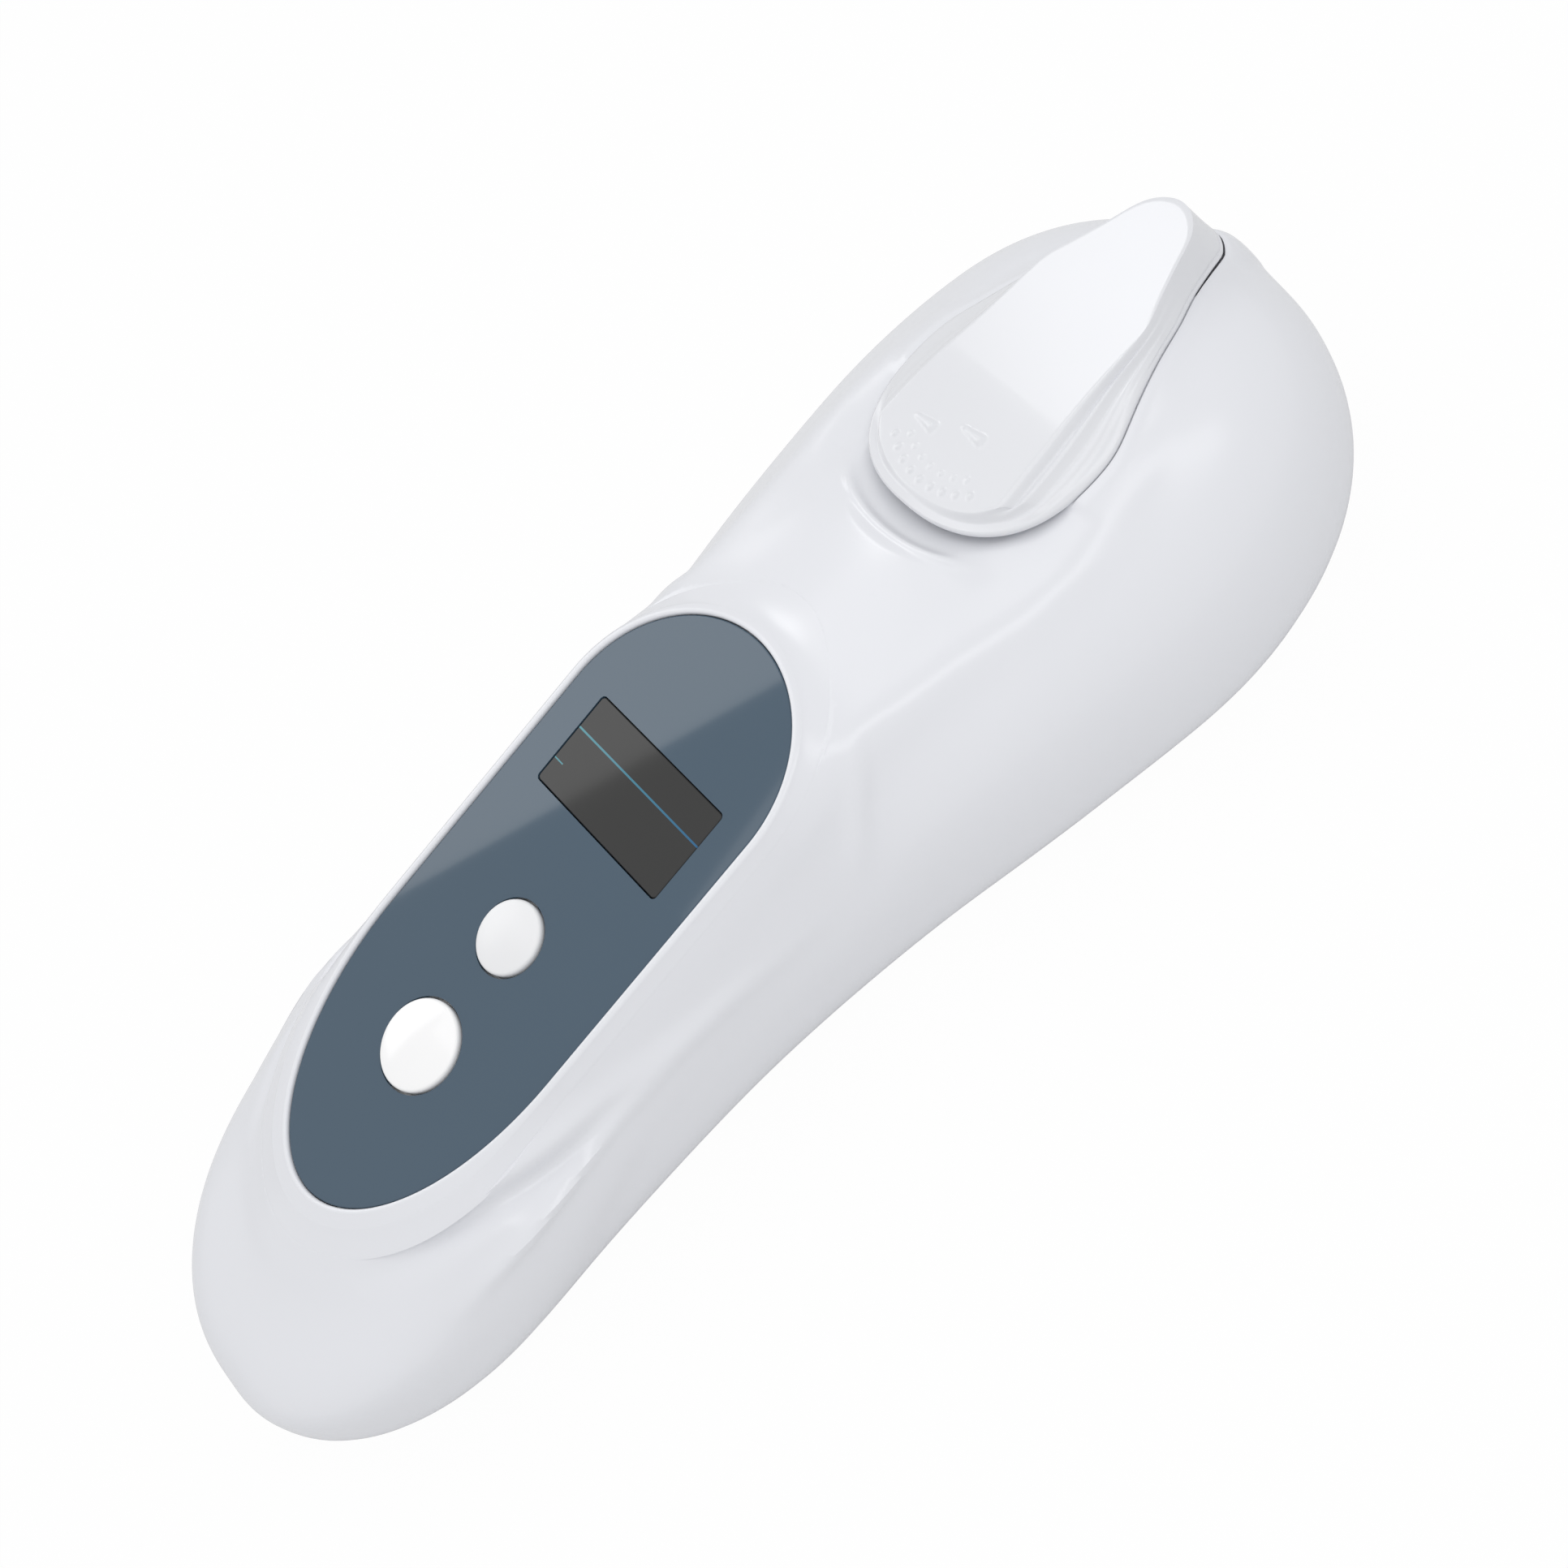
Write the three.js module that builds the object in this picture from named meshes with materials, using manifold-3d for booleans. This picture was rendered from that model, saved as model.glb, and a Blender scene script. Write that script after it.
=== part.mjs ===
// A handheld digital brix refractometer: a white two-part body with a raised display panel
// and two buttons on the handle, and a teardrop lid over the sample dish on the head.
// Millimetres, +Z up, +X from the tail of the handle to the head, lying on its flat base.
import * as THREE from 'three';
import { mergeVertices } from 'three/addons/utils/BufferGeometryUtils.js';
import Module from 'manifold-3d';

const wasm = await Module();
wasm.setup();

// Driving dimensions, body
const bodyLength = 191.4;
const headHalfWidth = 36.1;
const headHeight = 37.2;
const baseCut = 0.7;
const partingHeight = 5;
const shellWall = 2.4;
const clearance = 0.3;
const overrun = 3;

// Driving dimensions, display panel: it is tilted up toward the head
const panelTilt = THREE.MathUtils.degToRad(7.4);
const displayDrop = 0.5;
const panelHalfWidth = 18.5;
const panelTailLength = 62;
const panelTailRound = 31;
const panelHeadLength = 24.6;
const panelThickness = 1.4;
const panelLedge = 2.2;
const lipWidth = 0.9;
const lipHeight = 0.4;
const displayWidth = 26.2;
const displayDepth = 13.3;

// Driving dimensions, buttons, placed along the panel from the display's centre to the tail end
const smallButtonRadius = 4.88;
const smallButtonShare = 0.3653;
const largeButtonRadius = 5.96;
const largeButtonShare = 0.6447;
const buttonRise = 0.6;
const buttonDome = 0.5;
const buttonTravel = 0.6;

// Driving dimensions, lid and sample dish
const lidRise = 3.3;
const lidRound = 16.4;
const lidHalfWidth = 16.6;
const lidLength = 49.2;
const lidEdgeDrop = 3;
const lidSideDrop = 1.5;
const lidNoseDrop = 6.5;
const lidWall = 1.8;
const lidStep = 2.2;
const hingeFromNose = 4.6;
const hingeDrop = 5.5;
const hingePinRadius = 1;
const dishRadius = 9.8;

// Places along the body: what the panel and the lid leave free lies at the tail, the neck and the head end
const tailMarginShare = 0.499;
const neckShare = 0.428;
const tailX = -bodyLength / 2;
const freeLength = bodyLength - panelTailLength - panelHeadLength - lidLength;
const displayX = tailX + tailMarginShare * freeLength + panelTailLength;
const lidFrontX = displayX + panelHeadLength + neckShare * freeLength;
const lidNoseX = lidFrontX + lidLength;
const hingeX = lidNoseX - hingeFromNose;
const grooveRadius = Math.hypot(hingeFromNose, hingeDrop) + clearance;
const dishX = hingeX - grooveRadius - dishRadius - clearance;

// Heights that follow the head's
const displayHeight = headHeight - displayDrop;
const lidTopHeight = headHeight + lidRise;
const hingeZ = lidTopHeight - hingeDrop;

// Finishes
const paint = (color, roughness, metalness = 0) =>
  new THREE.MeshStandardMaterial({ color, roughness, metalness });
const whiteShell = paint(0xe9eaed, 0.25);
const slatePanel = paint(0x55646f, 0.2);
const darkGlass = paint(0x3d3d3e, 0.1);
const whiteButton = paint(0xf2f3f6, 0.22);
const greenBoard = paint(0x1f5b3a, 0.5);
const blackPlastic = paint(0x1d1e20, 0.5);
const greyRubber = paint(0x5d6166, 0.8);
const steel = paint(0xb9bcc0, 0.3, 1);
const brass = paint(0xc9a552, 0.35, 1);
const clearGlass = paint(0xdfe9ee, 0.05);
const batteryLabel = paint(0x4a4f57, 0.4);
const amberFilm = paint(0xb8752c, 0.45);

// A closed three.js geometry becomes a solid that can be joined and cut
function solid(geometry) {
  const bare = geometry.clone();
  bare.deleteAttribute('normal');
  bare.deleteAttribute('uv');
  const merged = mergeVertices(bare, 1e-4);
  return new wasm.Manifold(new wasm.Mesh({
    numProp: 3,
    vertProperties: new Float32Array(merged.attributes.position.array),
    triVerts: new Uint32Array(merged.index.array),
  }));
}

function geometryOf(body) {
  const { vertProperties, triVerts } = body.getMesh();
  const geometry = new THREE.BufferGeometry();
  geometry.setAttribute('position', new THREE.BufferAttribute(new Float32Array(vertProperties), 3));
  geometry.setIndex(new THREE.BufferAttribute(new Uint32Array(triVerts), 1));
  geometry.computeVertexNormals();
  return geometry;
}

// A closed skin over rings of equal count, with a fan to a point at each end
function skin(rings, ends = {}) {
  const count = rings[0].length;
  const middle = (ring) => ring.reduce((sum, p) => sum.add(p), new THREE.Vector3()).divideScalar(count);
  const points = [...rings.flat(), ends.first ?? middle(rings[0]), ends.last ?? middle(rings.at(-1))];
  const start = points.length - 2;
  const end = points.length - 1;
  const faces = [];
  for (let i = 0; i < count; i += 1) {
    const next = (i + 1) % count;
    faces.push(start, next, i);
    for (let r = 0; r + 1 < rings.length; r += 1) {
      const low = r * count;
      const high = low + count;
      faces.push(low + i, low + next, high + next, low + i, high + next, high + i);
    }
    const last = (rings.length - 1) * count;
    faces.push(end, last + i, last + next);
  }
  const geometry = new THREE.BufferGeometry();
  const numbers = points.flatMap((p) => p.toArray());
  geometry.setAttribute('position', new THREE.Float32BufferAttribute(numbers, 3));
  geometry.setIndex(faces);
  return geometry;
}

function prism(outline, bottom, top) {
  const shape = new THREE.Shape(outline);
  return new THREE.ExtrudeGeometry(shape, { depth: top - bottom, bevelEnabled: false, steps: 1 })
    .translate(0, 0, bottom);
}

function box(x0, x1, halfWidth, z0, z1, y = 0) {
  return new THREE.BoxGeometry(x1 - x0, 2 * halfWidth, z1 - z0)
    .translate((x0 + x1) / 2, y, (z0 + z1) / 2);
}

// Facets round a thin shaft, a small round piece and a larger one
const shaftSides = 12;
const roundSides = 20;
const fineSides = 24;

// Upright cylinder, and one lying across the body
function post(x, y, radius, z0, z1, sides = roundSides) {
  return new THREE.CylinderGeometry(radius, radius, z1 - z0, sides)
    .rotateX(Math.PI / 2)
    .translate(x, y, (z0 + z1) / 2);
}

function crossRod(x, z, radius, y0, y1, sides = roundSides) {
  return new THREE.CylinderGeometry(radius, radius, y1 - y0, sides).translate(x, (y0 + y1) / 2, z);
}

// Body form: half widths and top heights at stations along the length, as shares
const stationShares = [0, 0.12, 0.25, 0.38, 0.52, 0.66, 0.8, 0.92, 1];
const halfWidthShares = [0.79, 0.763, 0.703, 0.684, 0.749, 0.883, 0.975, 1, 1.01];
const topShares = [0.521, 0.649, 0.81, 0.859, 0.913, 0.974, 1, 0.996, 0.97];
const middleShares = [0.265, 0.33, 0.39, 0.39, 0.385, 0.375, 0.353, 0.43, 0.483];
const topPowers = [3.4, 3.25, 3.05, 2.87, 2.69, 2.5, 2.31, 2.15, 2.04];
const bottomPowers = [2.79, 2.7, 2.6, 2.5, 2.42, 2.55, 2.7, 2.83, 2.91];
const tailRoundShare = 0.23;
const headRoundShare = 0.255;
const tailDropShare = 0.184;
const headDropShare = 0.131;
const planPower = 2.3;
const dropPower = 2.2;

// Smooth curve through a table of shares, kept level at its high and low points
function along(table, share) {
  const last = stationShares.length - 1;
  const at = Math.min(Math.max(share, 0), 1);
  let i = 0;
  while (i < last - 1 && at > stationShares[i + 1]) i += 1;
  const step = (k) => stationShares[k + 1] - stationShares[k];
  const rate = (k) => (table[k + 1] - table[k]) / step(k);
  const slope = (k) => {
    if (k === 0) return rate(0);
    if (k === last) return rate(last - 1);
    const before = rate(k - 1);
    const after = rate(k);
    return before * after > 0 ? 2 * before * after / (before + after) : 0;
  };
  const h = step(i);
  const t = (at - stationShares[i]) / h;
  const rise = t * t * (3 - 2 * t);
  const lead = t * (1 - t) * (1 - t);
  const trail = t * t * (t - 1);
  return table[i] + (table[i + 1] - table[i]) * rise + h * (slope(i) * lead + slope(i + 1) * trail);
}

const rounded = (u, power) => {
  const gap = 1 - Math.min(Math.max(u, 0), 1);
  return (1 - gap ** power) ** (1 / power);
};

// Cross-section of the body at a share of its length, grown outward by an amount
function section(share, grow) {
  const plan = Math.min(
    rounded(share / tailRoundShare, planPower),
    rounded((1 - share) / headRoundShare, planPower),
  );
  const drop = Math.min(
    rounded(share / tailDropShare, dropPower),
    rounded((1 - share) / headDropShare, dropPower),
  );
  const middle = along(middleShares, share) * headHeight;
  const top = along(topShares, share) * headHeight + grow;
  return {
    x: tailX - grow + share * (bodyLength + 2 * grow),
    halfWidth: (along(halfWidthShares, share) * headHalfWidth + grow) * plan,
    middle,
    rise: (top - middle) * drop,
    fall: (middle + baseCut + grow) * drop,
    topPower: along(topPowers, share),
    bottomPower: along(bottomPowers, share),
  };
}

function bodyForm(grow, stations, sides) {
  const rings = [];
  for (let i = 1; i < stations; i += 1) {
    const at = section(0.5 - 0.5 * Math.cos(Math.PI * i / stations), grow);
    const ring = [];
    for (let k = 0; k < sides; k += 1) {
      const angle = 2 * Math.PI * k / sides;
      const c = Math.cos(angle);
      const s = Math.sin(angle);
      const power = 2 / (s >= 0 ? at.topPower : at.bottomPower);
      const y = at.halfWidth * Math.sign(c) * Math.abs(c) ** power;
      const z = at.middle + (s >= 0 ? at.rise : at.fall) * Math.sign(s) * Math.abs(s) ** power;
      ring.push(new THREE.Vector3(at.x, y, z));
    }
    rings.push(ring);
  }
  const tail = section(0, grow);
  const head = section(1, grow);
  return skin(rings, {
    first: new THREE.Vector3(tail.x, 0, tail.middle),
    last: new THREE.Vector3(head.x, 0, head.middle),
  });
}

// Panel outline in its own plane, from the display's centre: an ellipse at the tail, a circle at the head
const panelSides = 48;
function panelOutline(grow, headGrow = grow, tailGrow = grow) {
  const half = panelHalfWidth + grow;
  const points = [];
  for (let i = 0; i < panelSides; i += 1) {
    const angle = 2 * Math.PI * i / panelSides;
    const c = Math.cos(angle);
    const middle = c >= 0 ? panelHeadLength - panelHalfWidth : panelTailRound - panelTailLength;
    const reach = c >= 0 ? panelHalfWidth + headGrow : panelTailRound + tailGrow;
    points.push(new THREE.Vector2(middle + reach * c, half * Math.sin(angle)));
  }
  return points;
}

// The panel's own frame
const panelMatrix = new THREE.Matrix4()
  .makeRotationY(-panelTilt)
  .setPosition(displayX, 0, displayHeight);
const onPanel = (geometry) => geometry.applyMatrix4(panelMatrix);

// Plateau that carries the panel: its skirt is steep at the sides and runs out to a long ramp at the head
const skirtDepth = 12;
const sideSpread = 5;
const headSpread = 28;
const tailSpread = 12;
const skirtDepthShares = [0.067, 0.2, 0.383, 0.633, 1];
const sideSpreadShares = [0.3, 0.46, 0.66, 0.84, 1];
const headSpreadShares = [0.107, 0.286, 0.536, 0.786, 1];
const tailSpreadShares = [0.167, 0.333, 0.542, 0.75, 1];
function plateau() {
  const ring = (height, side, head, tail) =>
    panelOutline(side, head, tail).map((p) => new THREE.Vector3(p.x, p.y, height));
  const lip = ring(lipHeight, lipWidth, lipWidth, lipWidth);
  const skirt = skirtDepthShares.map((share, i) => ring(
    -share * skirtDepth,
    sideSpreadShares[i] * sideSpread,
    headSpreadShares[i] * headSpread,
    tailSpreadShares[i] * tailSpread,
  ));
  return onPanel(skin([lip, ...skirt].reverse()));
}

// Lid outline seen from above: a blunt round front, then a taper to the narrow nose
const lidRoundPower = 2.4;
const lidArcSteps = 9;
const lidMiddleX = lidFrontX + lidRound;
const lidTaper = lidLength - lidRound;
const rimBackShares = [
  [0, 1], [0.129, 0.97], [0.265, 0.867], [0.415, 0.745], [0.535, 0.65], [0.658, 0.548],
  [0.772, 0.425], [0.864, 0.335], [0.93, 0.265], [0.978, 0.17], [1, 0],
];
const plateBackShares = [
  [-0.58, 0.683], [-0.16, 0.66], [0.13, 0.623], [0.34, 0.593], [0.51, 0.573], [0.61, 0.512],
  [0.72, 0.42], [0.82, 0.345], [0.905, 0.275], [0.962, 0.17], [0.991, 0],
];

function lidOutline(inset, backShares) {
  const width = lidHalfWidth - inset;
  const reach = lidRound - inset;
  const side = backShares[0][1] * lidHalfWidth;
  const half = [];
  for (let i = 0; i < lidArcSteps; i += 1) {
    const y = Math.min(side, width) * Math.sin(Math.PI / 2 * i / lidArcSteps);
    const forward = reach * (1 - (y / width) ** lidRoundPower) ** (1 / lidRoundPower);
    half.push(new THREE.Vector2(lidMiddleX - forward, y));
  }
  for (const [alongShare, acrossShare] of backShares) {
    const reachBack = alongShare < 0 ? lidRound : lidTaper;
    half.push(new THREE.Vector2(lidMiddleX + alongShare * reachBack, acrossShare * lidHalfWidth));
  }
  const mirrored = half.slice(1, -1).reverse().map((p) => new THREE.Vector2(p.x, -p.y));
  return [...half.map((p) => p.clone()), ...mirrored].reverse();
}

// Moves each point of an outline outward along its own normal
function grown(outline, amount) {
  const count = outline.length;
  return outline.map((p, i) => {
    const before = outline[(i + count - 1) % count];
    const after = outline[(i + 1) % count];
    const tangent = after.clone().sub(before).normalize();
    return new THREE.Vector2(p.x + tangent.y * amount, p.y - tangent.x * amount);
  });
}

// Lower edge of the lid: it drops at the sides and toward the nose, as the head does
const noseDropShare = 0.55;
function lidEdge(x, y) {
  const across = Math.min(Math.abs(y) / lidHalfWidth, 1);
  const back = Math.max((x - lidFrontX) / lidLength - noseDropShare, 0) / (1 - noseDropShare);
  return lidTopHeight - lidEdgeDrop - lidSideDrop * across ** 2 - lidNoseDrop * Math.min(back, 1) ** 2;
}

const rimOutline = lidOutline(0, rimBackShares);
const plateOutline = lidOutline(lidStep, plateBackShares);
const raised = (outline, height) => outline.map((p) => new THREE.Vector3(p.x, p.y, height(p)));

// The lid's underside and the seat below it: rings drawn in to a middle point, on the curve of its edge
const underShares = [0.3, 0.65, 1];
const underMiddle = new THREE.Vector2(dishX, 0);
function underRings(outline, drop) {
  return underShares.map((share) => raised(
    outline.map((p) => underMiddle.clone().lerp(p, share)),
    (p) => lidEdge(p.x, p.y) - drop,
  ));
}
const underPoint = (drop) => new THREE.Vector3(underMiddle.x, 0, lidEdge(underMiddle.x, 0) - drop);

// Raised seat on the head that carries the lid, spreading into the body
const seatMargin = 0.7;
const seatSpread = 4.6;
const seatDepth = 6;
const seatSpreadShares = [0.348, 0.652, 1];
const seatDepthShares = [0.1, 0.367, 1];
function lidSeat() {
  const onSide = seatSpreadShares.map((share, i) => raised(
    grown(rimOutline, share * seatSpread),
    (p) => lidEdge(p.x, p.y) - clearance - seatDepthShares[i] * seatDepth,
  ));
  const onTop = underRings(grown(rimOutline, seatMargin), clearance);
  const whole = skin([...onSide.reverse(), ...onTop.reverse()], { last: underPoint(clearance) });
  const within = box(lidFrontX - lidRound, hingeX, lidLength, partingHeight, tall);
  return solid(whole).intersect(solid(within));
}

// Space that the lid lies in, a clearance over the seat
function lidSpace() {
  const outline = grown(rimOutline, seatMargin);
  const rings = [...underRings(outline, clearance), raised(outline, () => tall)];
  return solid(skin(rings, { first: underPoint(clearance) }));
}

// Arm on the head inside the lid's slot, carrying the hinge pin
const armHalfWidth = 2.6;
const armRadius = 2.3;
const armReach = 8;
const slotNoseGap = 1;
const pinHold = 1.1;
const hingePinHalf = armHalfWidth + clearance + pinHold;
function hingeArm() {
  const bar = box(hingeX - armReach, hingeX, armHalfWidth, hingeZ - armRadius, hingeZ + armRadius);
  return solid(bar).add(solid(crossRod(hingeX, hingeZ, armRadius, -armHalfWidth, armHalfWidth)));
}

// Groove that the lid's nose turns in, under the lid's own outline
const grooveWall = 1.4;
const grooveHalfWidth = 6.6;
const groove = (grow) =>
  solid(crossRod(hingeX, hingeZ, grooveRadius + grow, -grooveHalfWidth - grow, grooveHalfWidth + grow))
    .intersect(solid(prism(grown(rimOutline, seatMargin + grow), partingHeight, tall)));

// Finger scoop under the lid's round front
const scoopReach = 12.6;
const scoopHalfWidth = 18;
const scoopDepth = 5.6;
const scoopBehindFront = 8.6;
const scoopFromDish = 5.2;
const scoopSides = 24;
const scoopRings = 14;
function scoop(grow) {
  const bowl = new THREE.SphereGeometry(1, scoopSides, scoopRings)
    .scale(scoopReach + grow, scoopHalfWidth + grow, scoopDepth + grow)
    .translate(lidFrontX + scoopBehindFront, 0, lidTopHeight - lidEdgeDrop);
  const back = dishX - dishRadius - scoopFromDish + grow;
  const front = box(lidFrontX - 2 * scoopReach, back, 2 * scoopHalfWidth, 0, tall);
  return solid(bowl).intersect(solid(front));
}

// Levels at the sample dish, from the seat down
const dishDrop = 3.9;
const dishFlange = 0.9;
const dishThroatRadius = 3.2;
const dishDepth = 4.7;
const dishWall = 0.8;
const dishMouthInset = 1.2;
const dishPadRadius = 12.5;
const dishPadDepth = 3.6;
const dishTop = lidTopHeight - dishDrop;
const dishBottom = dishTop - dishDepth;
const dishMouth = dishRadius - dishMouthInset;
const dishHoleRadius = dishMouth - dishWall + 2 * clearance;

// Seal, prism and optics block under the dish
const blockHalfLength = 9.5;
const blockHalfWidth = 8.5;
const blockHeight = 16.5;
const blockEar = 4.5;
const blockEarThickness = 3;
const sealThickness = 0.4;
const sealTop = dishBottom - clearance;
const prismTop = sealTop - sealThickness - clearance;
const blockTop = prismTop - 2 * clearance;
const blockBottom = blockTop - blockHeight;
const opticsPostY = blockHalfWidth + blockEar / 2 + clearance;

// Screws: each goes up through the lower shell into a post of the upper shell
const screwShaft = 1.1;
const screwHead = 2.3;
const screwHeadHeight = 1.5;
const screwLength = 11;
const screwRecess = 1.2;
const postRadius = 3.2;
const bossRadius = 4;
const bossTop = 6.5;

// Battery compartment in the lower shell, two AAA cells side by side
const cellRadius = 5.25;
const cellLength = 43.5;
const cellNub = 1;
const cellNubRadius = 1.9;
const springLength = 3.4;
const springRadius = 3.2;
const contactThickness = 0.5;
const compartmentWall = 1.2;
const compartmentFromDisplay = 3;
const cellSpacing = 2 * cellRadius + 2 * clearance;
const compartmentHalfWidth = cellSpacing / 2 + cellRadius + clearance;
const compartmentLength = cellLength + cellNub + springLength + 2 * contactThickness + 5 * clearance;
const compartmentHead = displayX - compartmentFromDisplay;
const compartmentTail = compartmentHead - compartmentLength;
const doorThickness = 1.6;
const cellZ = doorThickness + 2 * clearance + cellRadius;
const compartmentTop = cellZ + cellRadius + clearance;

// Two screws between the tail and the battery compartment, and two in the head
const tailScrewShare = 0.72;
const headScrewShare = 0.772;
const tailScrewSideShare = 0.27;
const headScrewSideShare = 0.47;
const screwPlaces = [-1, 1].flatMap((side) => [
  [tailX + tailScrewShare * (compartmentTail - tailX), side * tailScrewSideShare * headHalfWidth],
  [tailX + headScrewShare * bodyLength, side * headScrewSideShare * headHalfWidth],
]);

// Under the panel from the top down: button flange, plunger, its travel, rubber mat, dome switch, board
const flangeWidth = 1;
const flangeThickness = 0.8;
const plungerRadius = 2;
const plungerLength = 1.4;
const matThickness = 0.7;
const domeHeight = 1.1;
const flangeTop = -panelThickness - clearance;
const plungerBottom = flangeTop - flangeThickness - plungerLength;
const matTop = plungerBottom - buttonTravel - clearance;
const domeTop = matTop - matThickness - clearance;
const boardDepth = domeHeight + clearance - domeTop;

// Board under the panel, held on tabs inside the opening
const boardGap = 0.5;
const boardThickness = 1.2;
const tabPlaceShares = [[-0.5, 1], [-0.5, -1], [0.05, 1], [0.05, -1]];
const tabLength = 5;
const tabThickness = 2.4;
const tabReach = 4.6;
const tabRoot = 8;
const openingDepth = 12;
const openingHalfWidth = panelHalfWidth - panelLedge;
const tabPlaces = tabPlaceShares.map(([alongShare, side]) =>
  [alongShare * panelTailLength, side * (openingHalfWidth - tabReach / 2)]);
const tabTop = -boardDepth - boardThickness - clearance;

// Body shells
const outerStations = 28;
const outerSides = 28;
const innerStations = 16;
const innerSides = 16;
const tall = 2 * headHeight;
const slab = (z0, z1) => solid(box(-bodyLength, bodyLength, bodyLength, z0, z1));
const outer = solid(bodyForm(0, outerStations, outerSides)).intersect(slab(0, tall));
const inner = solid(bodyForm(-shellWall, innerStations, innerSides));
const dishPad = solid(post(dishX, 0, dishPadRadius, dishTop - dishPadDepth, tall));

// Groove for the gasket, cut into the inner side of both shells where they part
const gasketInset = 1.3;
const gasketHalfHeight = 0.8;
const gasketRing = (inset, depth, halfHeight) =>
  solid(bodyForm(-inset, innerStations, innerSides))
    .subtract(solid(bodyForm(-depth, innerStations, innerSides)))
    .intersect(slab(partingHeight - halfHeight, partingHeight + halfHeight));
const gasketGroove = gasketRing(gasketInset - clearance, shellWall + clearance, gasketHalfHeight + clearance);

function upperShell() {
  const carried = outer.add(solid(plateau())).add(lidSeat());
  const form = carried.subtract(lidSpace());
  const seat = onPanel(prism(panelOutline(0), -panelThickness - clearance, overrun));
  const opening = onPanel(prism(panelOutline(-panelLedge), -openingDepth, overrun));
  const hollow = inner.subtract(scoop(shellWall)).subtract(groove(grooveWall)).subtract(dishPad);
  let shell = form.subtract(hollow).subtract(solid(seat)).subtract(solid(opening));
  shell = shell.subtract(scoop(0)).subtract(groove(0)).add(hingeArm());
  const limit = solid(bodyForm(-shellWall / 2, innerStations, innerSides));
  for (const [x, y] of screwPlaces) {
    shell = shell.add(solid(post(x, y, postRadius, bossTop + clearance, tall)).intersect(limit));
  }
  for (const [x, y] of tabPlaces) {
    const side = Math.sign(y);
    const tab = box(x - tabLength / 2, x + tabLength / 2, (tabReach + tabRoot) / 2,
      tabTop - tabThickness, tabTop, y + side * tabRoot / 2);
    const hole = post(x, y, screwShaft + clearance, tabTop - overrun - tabThickness, overrun);
    shell = shell.add(solid(onPanel(tab)).intersect(limit)).subtract(solid(onPanel(hole)));
  }
  for (const side of [-1, 1]) {
    const top = dishTop - dishPadDepth + shellWall / 2;
    const y = side * opticsPostY;
    shell = shell.add(solid(post(dishX, y, postRadius, blockTop + clearance, top)));
    shell = shell.subtract(solid(post(dishX, y, screwShaft + clearance, 0, top - shellWall / 2)));
  }
  const flangeSeat = post(dishX, 0, dishRadius + clearance, dishTop - dishFlange - clearance, tall);
  const pinHole = crossRod(hingeX, hingeZ, hingePinRadius + clearance, -grooveHalfWidth, grooveHalfWidth);
  shell = shell.subtract(solid(flangeSeat)).subtract(solid(pinHole));
  shell = shell.subtract(solid(post(dishX, 0, dishHoleRadius, 0, tall)));
  for (const [x, y] of screwPlaces) {
    const hole = post(x, y, screwShaft + clearance, 0, screwRecess + screwLength + clearance);
    shell = shell.subtract(solid(hole));
  }
  return shell.subtract(gasketGroove).intersect(slab(partingHeight + clearance / 2, tall));
}

function lowerShell() {
  const belowParting = slab(0, partingHeight - clearance / 2);
  const within = solid(bodyForm(-shellWall - clearance, innerStations, innerSides));
  const bossLimit = belowParting.intersect(outer).add(within);
  let shell = outer.subtract(inner).intersect(belowParting);
  const compartment = box(compartmentTail - compartmentWall, compartmentHead + compartmentWall,
    compartmentHalfWidth + compartmentWall, shellWall / 2, compartmentTop + compartmentWall);
  const space = box(compartmentTail, compartmentHead, compartmentHalfWidth, -overrun, compartmentTop);
  shell = shell.add(solid(compartment)).subtract(solid(space));
  for (const [x, y] of screwPlaces) {
    const hole = post(x, y, screwShaft + clearance, -overrun, bossTop + overrun);
    const recess = post(x, y, screwHead + clearance, -overrun, screwRecess + screwHeadHeight + clearance);
    shell = shell.add(solid(post(x, y, bossRadius, 0, bossTop)).intersect(bossLimit));
    shell = shell.subtract(solid(hole)).subtract(solid(recess));
  }
  return shell.subtract(gasketGroove);
}

function batteryDoor() {
  const door = box(compartmentTail + clearance, compartmentHead - clearance, compartmentHalfWidth - clearance,
    0, doorThickness);
  return solid(door).intersect(outer);
}

// Lid: flange, sloping flanks and a flat top plate, hollow underneath, with a slot for the hinge arm
const rimThickness = 0.9;
const stepShare = 0.5;
const frontRiseShare = 0.1;
const flankRiseShare = 0.5;

function lidBlock() {
  const rim = raised(rimOutline, (p) => lidEdge(p.x, p.y) + rimThickness);
  const top = raised(plateOutline, () => lidTopHeight);
  const step = rim.map((p, i) => {
    const side = Math.min(Math.abs(p.y) / lidHalfWidth, 1);
    const back = Math.min(Math.max((p.x - lidFrontX) / lidRound, 0), 1);
    const rise = frontRiseShare + (flankRiseShare - frontRiseShare) * Math.max(side * back, back ** 2);
    const between = p.clone().lerp(top[i], stepShare);
    between.z = p.z + (lidTopHeight - p.z) * rise;
    return between;
  });
  return solid(skin([...underRings(rimOutline, 0), rim, step, top], { first: underPoint(0) }));
}

// Hollow of the lid, open downward, drawn in from the plate's outline
const hollowFrontShare = 0.32;
const hollowBackShare = 0.8;
const hollowInset = 0.3;
function lidHollow(gap, bottom, top) {
  const inside = grown(plateOutline, -hollowInset - gap);
  const from = lidFrontX + hollowFrontShare * lidLength + gap;
  const to = lidFrontX + hollowBackShare * lidLength - gap;
  return solid(prism(inside, bottom, top)).intersect(solid(box(from, to, lidHalfWidth, 0, tall)));
}

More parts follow.
